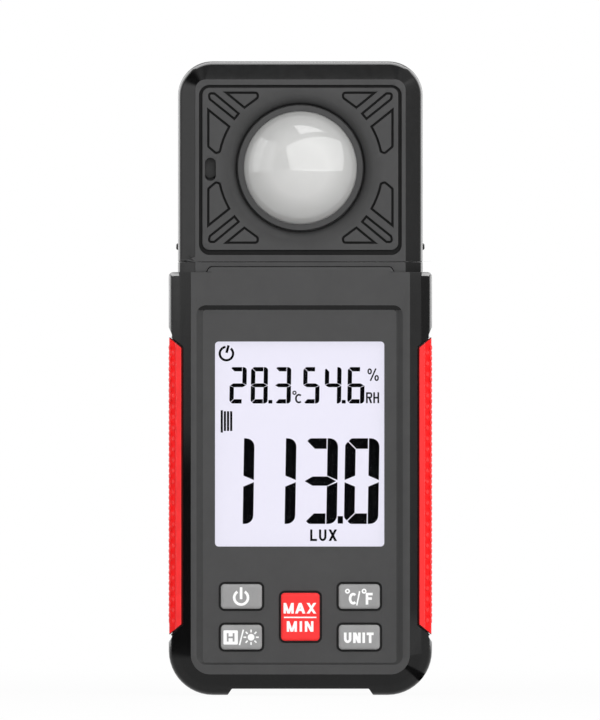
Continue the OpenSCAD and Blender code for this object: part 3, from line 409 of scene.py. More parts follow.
class Tree:
    """Short ways to lay out the nodes of a material, of the world or of a modifier."""

    def __init__(self, tree):
        self.tree = tree
        tree.nodes.clear()

    def link(self, a, b):
        self.tree.links.new(a, b)

    def add(self, kind, inputs=None, **settings):
        """A new node; each input is given a value or the socket that feeds it."""
        node = self.tree.nodes.new(kind)
        for key, value in settings.items():
            setattr(node, key, value)
        for key, value in (inputs or {}).items():
            if isinstance(value, bpy.types.NodeSocket):
                self.link(value, node.inputs[key])
            else:
                node.inputs[key].default_value = value
        return node

    def maths(self, operation, a, b=None):
        inputs = {0: a} if b is None else {0: a, 1: b}
        return self.add("ShaderNodeMath", inputs, operation=operation).outputs["Value"]

    def spread(self, value, least, most, start=0.3, end=0.7):
        """Maps a value's span from start to end onto the span from least to most."""
        span = {"Value": value, "From Min": start, "From Max": end, "To Min": least, "To Max": most}
        return self.add("ShaderNodeMapRange", span).outputs["Result"]

    def seen_by(self, *kinds):
        """1 for the kinds of ray that are named, such as Camera, and 0 for the others."""
        path = self.add("ShaderNodeLightPath").outputs
        share = path[f"Is {kinds[0]} Ray"]
        for kind in kinds[1:]:
            share = self.maths("MAXIMUM", share, path[f"Is {kind} Ray"])
        return share

    def blend(self, share, first, second):
        """Mixes two shaders."""
        return self.add("ShaderNodeMixShader", {"Fac": share, 1: first, 2: second}).outputs[0]


class Shaping(Tree):
    """A modifier's tree with named inputs, which ends in real geometry of one finish."""

    def __init__(self, name, inputs):
        """Each input is given as its kind or, for a number, as its default."""
        super().__init__(bpy.data.node_groups.new(name, "GeometryNodeTree"))
        self.socket("Geometry", "INPUT", "Geometry")
        for label, kind in inputs.items():
            if isinstance(kind, str):
                self.socket(label, "INPUT", kind)
            else:
                self.socket(label, "INPUT", "Float").default_value = kind
        self.socket("Finish", "INPUT", "Material")
        self.socket("Geometry", "OUTPUT", "Geometry")
        self.given = self.add("NodeGroupInput").outputs

    def socket(self, name, way, kind):
        return self.tree.interface.new_socket(name, in_out=way, socket_type="NodeSocket" + kind)

    def object(self, name):
        """The geometry of an object input."""
        return self.add("GeometryNodeObjectInfo", {"Object": self.given[name]}).outputs["Geometry"]

    def store(self, geometry, name, value, data_type="FLOAT", domain="POINT"):
        inputs = {"Geometry": geometry, "Name": name, "Value": value}
        node = self.add("GeometryNodeStoreNamedAttribute", inputs, data_type=data_type, domain=domain)
        return node.outputs[0]

    def stored(self, name, data_type="FLOAT"):
        node = self.add("GeometryNodeInputNamedAttribute", {"Name": name}, data_type=data_type)
        return node.outputs["Attribute"]

    def upwards(self, height):
        return self.add("ShaderNodeCombineXYZ", {"Z": height}).outputs[0]

    def real(self, geometry):
        return self.add("GeometryNodeRealizeInstances", {0: geometry}).outputs[0]

    def end(self, geometry):
        paint = {"Geometry": self.real(geometry), "Material": self.given["Finish"]}
        self.add("NodeGroupOutput", {0: self.add("GeometryNodeSetMaterial", paint).outputs[0]})
        return self

    def use(self, piece, values):
        """Runs the tree on a piece; a modifier's inputs are set by their identifiers."""
        change = piece.modifiers.new("shaping", "NODES")
        change.node_group = self.tree
        for item in self.tree.interface.items_tree:
            if item.in_out == "INPUT" and item.name in values:
                change[item.identifier] = values[item.name]
        settle(piece)


# ---------- Finishes ----------


class Finish(Tree):
    """A material round one main shader, with its places measured on the object."""

    def __init__(self, name):
        self.material = bpy.data.materials.new(name)
        self.material.use_nodes = True
        super().__init__(self.material.node_tree)
        self.shader = self.add("ShaderNodeBsdfPrincipled")
        self.add("ShaderNodeOutputMaterial", {"Surface": self.shader.outputs["BSDF"]})
        self.spot = self.add("ShaderNodeTexCoord").outputs["Object"]

    def noise(self, scale, detail=3.0, roughness=0.55):
        inputs = {"Vector": self.spot, "Scale": scale, "Detail": detail, "Roughness": roughness}
        return self.add("ShaderNodeTexNoise", inputs).outputs["Fac"]

    def ramp(self, value, stops):
        node = self.add("ShaderNodeValToRGB", {"Fac": value})
        while len(node.color_ramp.elements) < len(stops):
            node.color_ramp.elements.new(0.5)
        for element, (position, colour) in zip(node.color_ramp.elements, stops):
            element.position, element.color = position, (*colour, 1.0)
        return node.outputs["Color"]

    def drift(self, value, colour, least, most):
        """The colour, which drifts between two shares of itself."""
        return self.ramp(value, [(0.3, shade(colour, least)), (0.7, shade(colour, most))])

    def multiply(self, tone, other, share=1.0):
        inputs = {"Factor": share, "A": tone, "B": other}
        return self.add("ShaderNodeMix", inputs, data_type="RGBA", blend_type="MULTIPLY").outputs["Result"]

    def bump(self, height, strength, distance):
        inputs = {"Strength": strength, "Distance": distance * MM, "Height": height}
        self.link(self.add("ShaderNodeBump", inputs).outputs["Normal"], self.shader.inputs["Normal"])

    def part(self, axis):
        """One coordinate of the place."""
        return self.add("ShaderNodeSeparateXYZ", {"Vector": self.spot}).outputs[axis]

    def radius_from(self, z):
        """Distance in metres from an axis along Y, in the middle of the object at a height."""
        across, up = self.part("X"), self.maths("SUBTRACT", self.part("Z"), z * MM)
        squares = (self.maths("MULTIPLY", side, side) for side in (across, up))
        return self.maths("SQRT", self.maths("ADD", *squares))

    def done(self, tone, rough, **values):
        """Feeds the main shader; values are set on its own sockets."""
        self.link(tone, self.shader.inputs["Base Color"])
        self.link(rough, self.shader.inputs["Roughness"])
        for key, value in values.items():
            self.shader.inputs[key.replace("_", " ")].default_value = value
        return self.material


def shade(colour, factor):
    return tuple(min(1.0, c * factor) for c in colour)


def grey(level):
    return (level, level, level)


def moulded(name, colour, rough=(0.45, 0.55), grain=3200.0, depth=0.012, specular=0.3, painted_surround_shade=None):
    """Moulded plastic: a fine spark-eroded grain, with slow changes of tone and gloss.

    Its last argument gives shares of the tone at distances from the dome's axis: painted shade round the
    dome.
    """
    n = Finish(name)
    tone = n.drift(n.noise(90.0, 2.0), colour, 0.94, 1.06)
    if painted_surround_shade:
        tone = n.multiply(tone, n.ramp(n.radius_from(DOME_Z), [(far, grey(share)) for far, share in painted_surround_shade]))
    n.bump(n.noise(grain, 2.0, 0.7), 0.35, depth)
    return n.done(tone, n.spread(n.noise(500.0, 2.0), *rough), Specular_IOR_Level=specular)


def metal(name, colour, rough=(0.22, 0.38)):
    """Bare metal with a fine streak in its gloss."""
    n = Finish(name)
    streak = n.noise(1800.0, 3.0, 0.6)
    n.bump(streak, 0.25, 0.004)
    return n.done(n.drift(n.noise(300.0), colour, 0.86, 1.04), n.spread(streak, *rough), Metallic=1.0)


def translucent_dome(name, colour):
    """Milky plastic with painted shade: brightest in the middle, greyer towards the rim beside its ring."""
    n = Finish(name)
    # Shares of the tone by distance from the dome's axis: painted shade towards the rim
    shares = ((0, 1), (0.0095, 0.98), (0.0112, 0.9), (0.012, 0.79))
    shares += ((0.0132, 0.69), (0.0143, 0.64), (0.015, 0.68), (0.0159, 0.68))
    rim = n.ramp(n.radius_from(DOME_Z - 0.3), [(far, shade(colour, share)) for far, share in shares])
    cloud = n.ramp(n.noise(160.0, 2.0), [(0.35, grey(0.95)), (0.65, grey(1.0))])
    n.bump(n.noise(2600.0, 2.0), 0.05, 0.001)
    rough = n.spread(n.noise(900.0, 2.0), 0.02, 0.04)
    return n.done(n.multiply(rim, cloud, 0.35), rough, Specular_IOR_Level=0.9)


# Marks on a grip's faces, and the share of red, green and blue that each keeps: painted shade, deeper red on
# the side, darker on the studs' flanks, nearly black on the inner wall and ends
FACE_MARK, SIDE_MARK, STUD_MARK, WALL_MARK = 0.0, 0.3, 0.45, 0.9
PAINTED_SHADE_TONES = (
    (FACE_MARK, (1, 1, 1)),
    (SIDE_MARK, (0.98, 0.14, 0.16)),
    (STUD_MARK, (0.94, 0.3, 0.3)),
    (WALL_MARK, (0.1, 0.1, 0.1)),
)


def soft_rubber(name, colour, sheen=0.025, marked=False):
    """Matt rubber with a fine bloom that catches light at a slant; its marked faces take painted shade."""
    n = Finish(name)
    tone = n.drift(n.noise(240.0), colour, 0.93, 1.05)
    if marked:
        mark = n.add("ShaderNodeAttribute", attribute_name="flank").outputs["Fac"]
        tone = n.multiply(tone, n.ramp(mark, PAINTED_SHADE_TONES))
    n.bump(n.noise(4200.0, 2.0, 0.7), 0.3, 0.01)
    return n.done(
        tone,
        n.spread(n.noise(1500.0), 0.55, 0.68),
        Specular_IOR_Level=0.18 if marked else 0.25,
        Sheen_Weight=sheen,
        Sheen_Roughness=0.5,
    )


def clear_window(name):
    """Clear plastic with a breath of dust."""
    n = Finish(name)
    dust = n.noise(700.0, 4.0)
    tone = n.ramp(dust, [(0.35, (0.01, 0.011, 0.014)), (0.65, (0.03, 0.032, 0.036))])
    return n.done(tone, n.spread(dust, 0.03, 0.06), Alpha=0.05, Specular_IOR_Level=0.08)


def display_ground(name, colour):
    """The reflector behind the segments, with the faint grain of its polariser, and a painted glow that keeps
    it evenly bright.
    """
    n = Finish(name)
    n.bump(n.noise(5200.0, 1.0), 0.1, 0.002)
    return n.done(
        n.drift(n.noise(2400.0, 2.0), colour, 0.985, 1.01),
        n.spread(n.noise(1200.0, 2.0), 0.45, 0.55),
        Specular_IOR_Level=0.2,
        # Painted glow, which evens out the shade of the recessed ground
        Emission_Color=(0.8, 0.785, 0.9, 1.0),
        Emission_Strength=1.0,
    )


def printed(name, colour, rough=0.5, specular=0.12):
    """Ink or a coat of paint with a faint grain."""
    n = Finish(name)
    n.bump(n.noise(5000.0, 1.0), 0.1, 0.002)
    gloss = n.spread(n.noise(2600.0, 2.0), rough - 0.05, rough + 0.05)
    return n.done(n.drift(n.noise(1800.0, 2.0), colour, 0.95, 1.03), gloss, Specular_IOR_Level=specular)


def circuit_board(name):
    """Green solder mask over faint tracks."""
    n = Finish(name)
    turn = n.add("ShaderNodeMapping", {"Vector": n.spot, "Rotation": (math.pi / 2, 0, 0)})
    tracks = n.add(
        "ShaderNodeTexBrick",
        {
            "Vector": turn.outputs["Vector"],
            "Scale": 220.0,
            "Mortar Size": 0.03,
            "Color1": (0.012, 0.085, 0.03, 1),
            "Color2": (0.014, 0.1, 0.036, 1),
            "Mortar": (0.03, 0.17, 0.06, 1),
        },
    )
    n.bump(tracks.outputs["Fac"], 0.3, 0.02)
    return n.done(tracks.outputs["Color"], n.spread(n.noise(800.0), 0.28, 0.4), Specular_IOR_Level=0.5)


def cell_jacket(name):
    """A plain two-colour jacket round each battery cell."""
    n = Finish(name)
    foot, top = low("battery_cells", "z") * MM, high("battery_cells", "z") * MM
    blue = ((0.0, (0.03, 0.06, 0.14)), (0.62, (0.035, 0.07, 0.16)))
    silver = ((0.64, (0.55, 0.56, 0.58)), (1.0, (0.6, 0.6, 0.62)))
    tone = n.ramp(n.spread(n.part("Z"), 0.0, 1.0, foot, top), blue + silver)
    n.bump(n.noise(1500.0), 0.1, 0.004)
    return n.done(tone, n.spread(n.noise(900.0), 0.22, 0.34), Specular_IOR_Level=0.5)


def woven_membrane(name):
    """Fine dark weave that lets air through."""
    n = Finish(name)
    cells = n.add("ShaderNodeTexVoronoi", {"Vector": n.spot, "Scale": 5200.0}).outputs["Distance"]
    n.bump(cells, 0.4, 0.02)
    tone = n.ramp(cells, [(0.1, grey(0.03)), (0.7, grey(0.045))])
    return n.done(tone, n.spread(n.noise(2600.0), 0.7, 0.85), Specular_IOR_Level=0.2)


# Painted shade on the head's face, darkest where its surround dips towards the ring: (metres from the axis,
# share of the tone)
SURROUND_PAINTED_SHADE = ((0.0178, 0.05), (0.0185, 0.17), (0.0192, 0.46), (0.0199, 0.84), (0.0205, 1.0))

# Spans of roughness: a grained face, and a dead matt one
DULL = (0.5, 0.6)
DEAD = (0.6, 0.7)

# Each finish is made from its name and the colours that the user sets
FINISHES = {
    "case_face": lambda name, c: moulded(name, c.face, DULL),
    # A darker copy of the face colour: painted shade on the panel's slope, the key holes, the vent and the
    # keys' sides
    "panel_slope": lambda name, c: moulded(name, shade(c.face, 0.56), DULL),
    # The head's face carries painted shade round the dome's ring
    "head_face": lambda name, c: moulded(name, c.face, DULL, painted_surround_shade=SURROUND_PAINTED_SHADE),
    "cover_smooth": lambda name, c: moulded(name, c.smooth, (0.13, 0.18), 2200.0, 0.001, 0.22),
    # Near black, painted shade in the head's groove and corner lines
    "groove_dark": lambda name, c: moulded(name, grey(0.009), DEAD, specular=0.1),
    "grip_red": lambda name, c: soft_rubber(name, c.grip, marked=True),
    "key_red": lambda name, c: soft_rubber(name, c.red_key),
    "key_grey": lambda name, c: soft_rubber(name, c.grey_key, 0.012),
    "legend_white": lambda name, c: printed(name, c.legend),
    "display_ink": lambda name, c: printed(name, c.ink, 0.6, 0.0),
    "display_grey": lambda name, c: printed(name, (0.012, 0.012, 0.014), 0.6, 0.03),
    "display_ground": lambda name, c: display_ground(name, c.display),
    "window_clear": lambda name, c: clear_window(name),
    "dome_milky": lambda name, c: translucent_dome(name, c.dome),
    "holder_black": lambda name, c: moulded(name, grey(0.012), DEAD),
    "frame_white": lambda name, c: moulded(name, (0.72, 0.72, 0.7), (0.4, 0.5)),
    "mat_rubber": lambda name, c: soft_rubber(name, (0.12, 0.12, 0.13)),
    "steel": lambda name, c: metal(name, (0.62, 0.62, 0.63)),
    "dark_steel": lambda name, c: metal(name, (0.16, 0.16, 0.165), (0.3, 0.42)),
    "brass": lambda name, c: metal(name, (0.78, 0.56, 0.27)),
    "board_green": lambda name, c: circuit_board(name),
    "chip_black": lambda name, c: moulded(name, (0.02, 0.02, 0.022), (0.35, 0.5)),
    "filter_green": lambda name, c: printed(name, (0.16, 0.42, 0.32), 0.15),
    "cell_jacket": lambda name, c: cell_jacket(name),
    "wire_red": lambda name, c: printed(name, (0.5, 0.03, 0.03), 0.35),
    "vent_membrane": lambda name, c: woven_membrane(name),
    "zebra_pink": lambda name, c: soft_rubber(name, (0.7, 0.3, 0.4)),
}


def finish(name):
    """The named material, made on first use."""
    return bpy.data.materials.get(name) or FINISHES[name](name, bpy.context.scene.meter_finishes)


# ---------- Head ----------


def bevel_line(width, depth, face, end, bulge=0.0):
    """(inset, y) from the flat face over the bevel to the side; a bulge gives the bevel a slight crown."""
    face_radius, side_radius, crown_radius = 0.25, 3.4, 9.0
    crown = (width / 2 - bulge * 0.6, face + depth / 2 - bulge * 0.8)
    corners = [(width + 3, face), (width, face), crown, (0, face + depth), (0, end)]
    radii = [0, face_radius, crown_radius if bulge else 0, side_radius, 0]
    return rounded(corners, radii, 7, closed=False)[1:]


def head_ring(amount):
    """The head's outline moved inwards at its sides and top, and cut flat at the seam."""
    tighten, lower = 1.37, 1.07
    half, top = HEAD_HALF - amount, HEAD_TOP - amount * lower
    radius, foot = size("head_corner") - amount * tighten, max(0.05, 0.3 - amount * 0.3)
    return rectangle(-half, half, HEAD_LOW, top, [foot, foot, radius, radius], 14)


def cover(name, ring, line, looks):
    """A bevelled half of a housing: the face takes the first look, the bevel and sides the second."""
    face_bands = 2
    rings = [at_depth(ring(amount), y) for amount, y in line]
    bands = [0 if k < face_bands else 1 for k in range(len(rings) - 1)]
    return place(name, loft(name, rings, bands, caps=(0, 1)), *looks)


def mirrored(y):
    """The depth on the other side of the head's axis."""
    return 2 * AXIS_Y - y


class METER_OT_head(bpy.types.Operator):
    """Builds the head's two shells with the panel groove, corner lines and dished surround"""

    bl_idname = "meter.head"
    bl_label = "Head shells"

    def execute(self, context):
        wall, dark = size("wall"), finish("cover_smooth")
        bevel = (size("head_bevel_w"), size("head_bevel_d"))
        line = bevel_line(*bevel, HEAD_FACE, HEAD_SPLIT)
        front = cover("head_front_cover", head_ring, line, (finish("head_face"), dark))
        line = [(a, mirrored(y)) for a, y in bevel_line(*bevel, mirrored(HEAD_BACK), mirrored(HEAD_SPLIT))]
        back = cover("head_back_cover", head_ring, line, (finish("case_face"), dark))
        cut(front, self.room(HEAD_FACE + wall, HEAD_SPLIT + PAST, bevel), dark)
        cut(back, self.room(HEAD_BACK - wall, HEAD_SPLIT - PAST, bevel), dark)
        cut(front, self.dish(), finish("head_face"))
        # The vent's walls take the slope's painted shade
        cut(front, self.vent(), finish("panel_slope"))
        # The groove and corner lines take painted shade
        cut(front, self.grooves(), finish("groove_dark"))
        for piece in (front, back):
            cut(piece, self.bore(), dark)
        for side in (-1, 1):
            for z in (low("head_screws", "z"), high("head_screws", "z")):
                cut(back, self.recess(side, z), dark)
        combine(front, joined("bumps", [self.bump(side) for side in (-1, 1)]), dark, "UNION")
        for piece, node in ((front, "head_front_shell"), (back, "head_rear_shell")):
            clean(piece)
            soften(piece, size("edge"))
            wear(piece, "head", "head_plastic", node)
        return {"FINISHED"}

    def room(self, face, end, bevel):
        """The hollow inside a shell, from behind its face to past the split."""
        wall = size("wall")

        def ring(amount):
            half, radius = HEAD_HALF - amount, max(1.0, size("head_corner") - amount)
            return rectangle(-half, half, HEAD_LOW + wall, HEAD_TOP - amount, [0, 0, radius, radius], 8)

        deeper = math.copysign(bevel[1], end - face)
        line = [(bevel[0], face), (wall, face + deeper), (wall, end)]
        return loft("room", [at_depth(ring(amount), y) for amount, y in line])

    def dish(self):
        """The surround curves down towards the ring, then the bore goes through."""
        outer, inner, depth, bore, steps = 20.7, 17.85, 1.9, 17.7, 12
        line = [(0, HEAD_FACE - PAST), (outer, HEAD_FACE - PAST), (outer, HEAD_FACE)]
        for k in range(1, steps + 1):
            t = k / steps
            line.append((outer - (outer - inner) * t, HEAD_FACE + depth * (1 - math.sqrt(1 - t * t))))
        line += [(bore, HEAD_FACE + depth + 0.6), (bore, AXIS_Y), (0, AXIS_Y)]
        return turned("dish", line, 0, DOME_Z, 160)

    def vent(self):
        """The pill-shaped humidity opening on the dome's left."""
        half, above, below, radius = 1.5, 2.75, 3.65, 1.45
        x = middle("humidity_vent", "x")
        pill = rectangle(x - half, x + half, DOME_Z - below, DOME_Z + above, radius, 10)
        return prism("vent", pill, HEAD_FACE - PAST, HEAD_FACE + size("wall") + PAST)

    def bore(self):
        """The round opening for the swivel in the head's foot."""
        ring = circle(high("swivel_washer", "x") - 2.3, 0, AXIS_Y, 64)
        levels = (HEAD_LOW - PAST, HEAD_LOW + size("wall") + PAST)
        return loft("bore", [[(x, y, z) for x, y in ring] for z in levels])

    def recess(self, side, end):
        """The sunk seat of one of the back's screws."""
        radius, screw_radius, screw_height = 2.0, 1.8, 1.2
        seat = high("head_screws", "y") - screw_height
        x = side * (high("head_screws", "x") - screw_radius)
        z = end + math.copysign(screw_radius, middle("head_screws", "z") - end)
        line = [(0, HEAD_BACK + PAST), (radius, HEAD_BACK + PAST), (radius, seat), (0, seat)]
        return turned("recess", line, x, z, 40)

    def grooves(self):
        """The panel groove and the lines round each corner's three figures."""
        floor, width, foot_width, lean = HEAD_FACE + size("groove_depth"), 0.9, 1.35, 0.1
        half, foot, top = 28.35, HEAD_LOW + 1.9, HEAD_TOP - 6.75

        def ring(side, below, radius, y):
            outline = rectangle(-half + side, half - side, foot + below, top - side * 0.8, radius, 12)
            return at_depth(outline, y)

        above = HEAD_FACE - 0.5
        rings = [ring(0.0, 0.0, 2.9, y) for y in (above, HEAD_FACE)]
        rings += [ring(lean, lean, 2.8, floor), ring(width - lean, foot_width - lean, 2.1, floor)]
        rings += [ring(width, foot_width, 2.0, y) for y in (HEAD_FACE, above)]
        return joined("grooves", [loft("groove", rings, around=True)] + self.corner_lines(floor))

    def corner_lines(self, floor):
        """The outlined figures in the panel's corners: a small one, one above the dome and one beside it."""
        radius, line_width = 23.0, 0.62

        def polar(angle):
            return (-radius * math.cos(math.radians(angle)), radius * math.sin(math.radians(angle)))

        beside = [polar(angle) for angle in (30, 25.25, 20.5, 15.75, 11)]
        figures = (
            ([polar(36.5), polar(41.2), (-24.1, 20.8), (-25.7, 20.8), (-25.4, 19.2)], [0, 0, 0.4, 0.6, 0.6]),
            ([polar(47), (-11.9, 19.6), (-12.0, 21.0), (-20.8, 21.0)], [0, 0.9, 0.7, 0]),
            (beside + [(-23.7, 4.1), (-25.8, 5.9), (-25.8, 16.2)], [0, 0, 0, 0, 0.7, 0.6, 0.5, 0]),
        )
        parts = []
        for corners, radii in figures:
            for side_x, side_z in ((1, 1), (1, -1), (-1, 1), (-1, -1)):
                line = [(side_x * x, DOME_Z + side_z * z) for x, z in corners]
                turns = radii
                if runs_clockwise(line):
                    line, turns = line[::-1], radii[::-1]
                parts.append(channel("line", line, turns, line_width, HEAD_FACE - 0.3, floor))
        return parts

    def bump(self, side):
        """A small index mark on the head's side, above the seam."""
        above_seam = 4.3
        rings = []
        for radius, out in ((0.95, -1.0), (0.95, 0.1), (0.85, 0.45), (0.5, 0.6)):
            x = side * (HEAD_HALF + out)
            rings.append([(x, y, z) for y, z in circle(radius, AXIS_Y, HEAD_LOW + above_seam, 20)])
        return loft("bump", rings)


class METER_OT_dome(bpy.types.Operator):
    """Builds the diffuser dome and the ring that holds it"""

    bl_idname = "meter.dome"
    bl_label = "Dome and ring"

    def execute(self, context):
        radius = 15.85
        dome = place("dome", turned("dome", self.shell(radius), 0, DOME_Z, 128), finish("dome_milky"))
        smooth(dome)
        wear(dome, "head", "dome_white", "diffuser_dome")
        bezel = turned("dome_bezel", self.bezel(radius + 0.04), 0, DOME_Z, 128, closed=True)
        ring = place("dome_bezel", bezel, finish("case_face"))
        smooth(ring)
        wear(ring, "head", "head_plastic", "dome_ring")
        return {"FINISHED"}

    def shell(self, radius):
        """The dome's section: part of a ball, its flange, and the same ball again inside the wall."""
        wall, flange, steps = 2.0, 1.2, 24
        front, end = low("diffuser_dome", "y"), high("diffuser_dome", "y")
        flange_radius = high("diffuser_dome", "x")
        sag = low("dome_ring", "y") - front
        ball = (radius * radius + sag * sag) / (2 * sag)
        line = self.ball_line(ball, math.asin(radius / ball), front + ball, steps)
        line += [(radius, end - flange), (flange_radius, end - flange), (flange_radius, end)]
        line.append((radius - wall, end))
        inner = ball - wall
        return line + self.ball_line(inner, math.asin((radius - wall) / inner), front + ball, steps)[::-1]

    def ball_line(self, ball, reach, centre, steps):
        angles = [reach * k / steps for k in range(steps + 1)]
        return [(ball * math.sin(angle), centre - ball * math.cos(angle)) for angle in angles]

    def bezel(self, bore):
        """The ring's section, with a flange behind the head's face."""
        outer, rise = 17.5, 1.8
        base, end, flange = low("dome_ring", "y"), high("dome_ring", "y"), high("dome_ring", "x")
        step = base + rise
        corners = [(bore, base), (outer, base), (outer, step), (flange, step), (flange, end), (bore, end)]
        return rounded(corners, [0.06, 0.12, 0.1, 0.1, 0.1, 0.1], 4)


# ---------- Case ----------


def case_ring(amount):
    """The case's outline moved inwards; its lower corners are round and its shoulders cut flat."""
    corner_steps, shoulder_steps, tighten, raise_foot = 12, 6, 1.12, 0.945
    half, foot, shoulder = CASE_HALF - amount, amount * raise_foot, size("shoulder")
    radius = size("case_corner") - amount * tighten
    whole = rectangle(-half, half, foot, CROWN, [radius, radius, 0, 0], corner_steps)
    lower = whole[: 2 * (corner_steps + 1)]
    right = arc(CASE_HALF - shoulder, CROWN - shoulder, shoulder, shoulder, 0, math.pi / 2, shoulder_steps)
    right = [(min(half, x), z) for x, z in right]
    return lower + right + [(-x, z) for x, z in reversed(right)]


def bevel_y(x):
    """Depth of the case's bevel plane at x."""
    width = size("case_bevel_w")
    return CASE_FACE + (x - CASE_HALF + width) / width * size("case_bevel_d")


def key_face(node):
    """Middle and half sizes of a key's cap, which is narrower than its flange."""
    flange = 1.0
    half_x = (high(node, "x") - low(node, "x")) / 2 - flange
    half_z = (high(node, "z") - low(node, "z")) / 2 - flange
    return middle(node, "x"), middle(node, "z"), half_x, half_z


def tab_outline():
    """The tab from the front, with rounded corners; its sides end inside the cover."""
    foot_half, side_half, top_half = 29, 26.55, 25.4
    foot, side = 108, CASE_TOP - 0.3
    right = [(foot_half, foot), (foot_half, side), (side_half, side), (top_half, TAB_TOP)]
    corners = [(-foot_half, foot)] + right + [(-x, z) for x, z in reversed(right[1:])]
    return rounded(corners, [0, 0, 0, 0.9, 1.2, 1.2, 0.9, 0], 5)


def lift(piece, above, amount):
    """Moves what lies above a level up or down."""
    for vertex in piece.data.vertices:
        if vertex.co.z > above * MM:
            vertex.co.z += amount * MM


def grained(piece, level):
    """Gives the flat face at a depth the grained finish."""
    piece.data.materials.append(finish("case_face"))
    for polygon in piece.data.polygons:
        if abs(polygon.normal.y) > 0.99 and abs(polygon.center.y - level * MM) < 0.05 * MM:
            polygon.material_index = len(piece.data.materials) - 1


class METER_OT_case(bpy.types.Operator):
    """Builds the case's front cover with its sunk panel and openings, and dresses the back cover and neck"""

    bl_idname = "meter.case"
    bl_label = "Case covers"

    def execute(self, context):
        self.front()
        self.back()
        self.neck()
        return {"FINISHED"}

    def front(self):
        face, dark, slope = finish("case_face"), finish("cover_smooth"), finish("panel_slope")
        line = bevel_line(size("case_bevel_w"), size("case_bevel_d"), CASE_FACE, CASE_SPLIT, bulge=0.22)
        piece = cover("case_front_cover", case_ring, line, (face, dark))
        combine(piece, self.tab(), face, "UNION")
        cut(piece, self.hollow(), dark)
        cut(piece, self.panel(), slope)
        self.shade_lower_slope(piece)
        cut(piece, self.through("window", self.window()), dark)
        for node in KEYS:
            # The key holes' walls take the slope's painted shade
            cut(piece, self.through("key", self.key_hole(node)), slope)
        relief = [(-20.4, -1), (20.4, -1), (20.4, 0), (19.2, 1.8), (-19.2, 1.8), (-20.4, 0)]
        cut(piece, prism("relief", relief, CASE_FACE - PAST, CASE_SPLIT + PAST), dark)
        neck_half, neck_front = 27.1, AXIS_Y - 9.1
        opening = rectangle(-neck_half, neck_half, CASE_TOP - 3, CASE_TOP + PAST)
        cut(piece, prism("opening", opening, neck_front, CASE_SPLIT + PAST), dark)
        for side in (-1, 1):
            for mesh in (grip_seat(side), self.scoops(side), self.shoulder(side)):
                cut(piece, mesh, dark)
        clean(piece)
        soften(piece, size("edge"))
        wear(piece, "case", "case_plastic", "front_case")

    def through(self, name, outline):
        """Cuts through the front wall."""
        return prism(name, outline, CASE_FACE - PAST, CASE_FACE + size("wall") + PAST)

    def tab(self):
        """The cover's tab in front of the neck, with a shallow chamfer along its upper edge."""
        chamfer = ((0.95, CASE_FACE), (0.16, CASE_FACE + 0.17), (0.0, CASE_FACE + 0.34))
        levels = (*chamfer, (0.0, HEAD_FACE - 0.12))
        return loft("tab", [at_depth(inset(tab_outline(), amount), y) for amount, y in levels])

    def hollow(self):
        """The room inside the cover; it narrows towards the face, as the bevel does."""
        foot, corner, narrower, depth = 3.8, 9.2, 4.2, 4.6
        half, behind = CASE_HALF - size("wall"), CASE_FACE + size("wall")
        wide = rectangle(-half, half, foot, CASE_TOP - size("wall"), [corner, corner, 0, 0], 8)
        levels = ((inset(wide, narrower), behind), (wide, behind + depth), (wide, CASE_SPLIT + PAST))
        return loft("hollow", [at_depth(outline, y) for outline, y in levels])

    def panel(self):
        """The sunk panel, as a cutter; its floor is grained, and its sloped edge takes the cut's look, a
        darker copy of the face that paints shade.
        """
        left, right, foot, top, corner = -29.1, 28.7, 8.6, 109.25, 2.6
        depth = size("panel_depth")
        # (inset, y, share of the inset at the sides, at the foot and at the top)
        levels = (
            (-1.0, CASE_FACE - 0.7, 1.2, 1, 1),
            (0.0, CASE_FACE, 1, 1, 1),
            (1.0, CASE_FACE + depth * 0.72, 1.1, 0.35, 0.75),
            (1.7, CASE_FACE + depth, 1.06, 0.36, 0.75),
        )
        rings = []
        for amount, y, at_side, at_foot, at_top in levels:
            side, below, above = at_side * amount, foot + at_foot * amount, top - at_top * amount
            outline = rectangle(left + side, right - side, below, above, max(0.6, corner - amount))
            rings.append(at_depth(outline, y))
        mesh = loft("panel", rings, [1, 1, 1], caps=(1, 0))
        mesh.materials.append(finish("case_face"))
        return mesh

    def shade_lower_slope(self, piece):
        """Paints shade on the slope along the panel's top, which looks down: it is made as dark as the
        bevels.
        """
        slope, dark = (piece.data.materials.find(name) for name in ("panel_slope", "cover_smooth"))
        for polygon in piece.data.polygons:
            if polygon.material_index == slope and polygon.normal.z < -0.25:
                polygon.material_index = dark

    def window(self):
        """The display opening, a little inside the window's edge."""
        edge = 2.3
        half = (high("lcd_window", "x") - low("lcd_window", "x")) / 2 - edge
        foot, top = low("lcd_window", "z") + edge, high("lcd_window", "z") - edge
        return rectangle(-half - 0.05, half - 0.35, foot, top - 0.3, 1.0)

    def key_hole(self, node):
        gap, corner = 0.34, 1.3
        x, z, half_x, half_z = key_face(node)
        wide, tall = half_x + gap, half_z + gap
        return rectangle(x - wide, x + wide, z - tall, z + tall, corner + gap)

    def scoops(self, side):
        """The shallow hollows in the case's side just above and below a grip."""
        edge = [(1.1, 2.3), (0.0, 2.3), (-0.3, 1.7), (-0.6, 1.0), (-0.85, 0.3), (-0.9, -0.4), (1.1, -0.4)]
        upper = [(side * (CASE_HALF + x), GRIP_HIGH + z) for x, z in edge]
        lower = [(side * (CASE_HALF + x), GRIP_LOW - 0.7 * z) for x, z in edge]
        front, back = CASE_FACE - PAST, CASE_BACK + PAST
        return joined("scoops", [prism("scoop", outline, front, back) for outline in (upper, lower)])

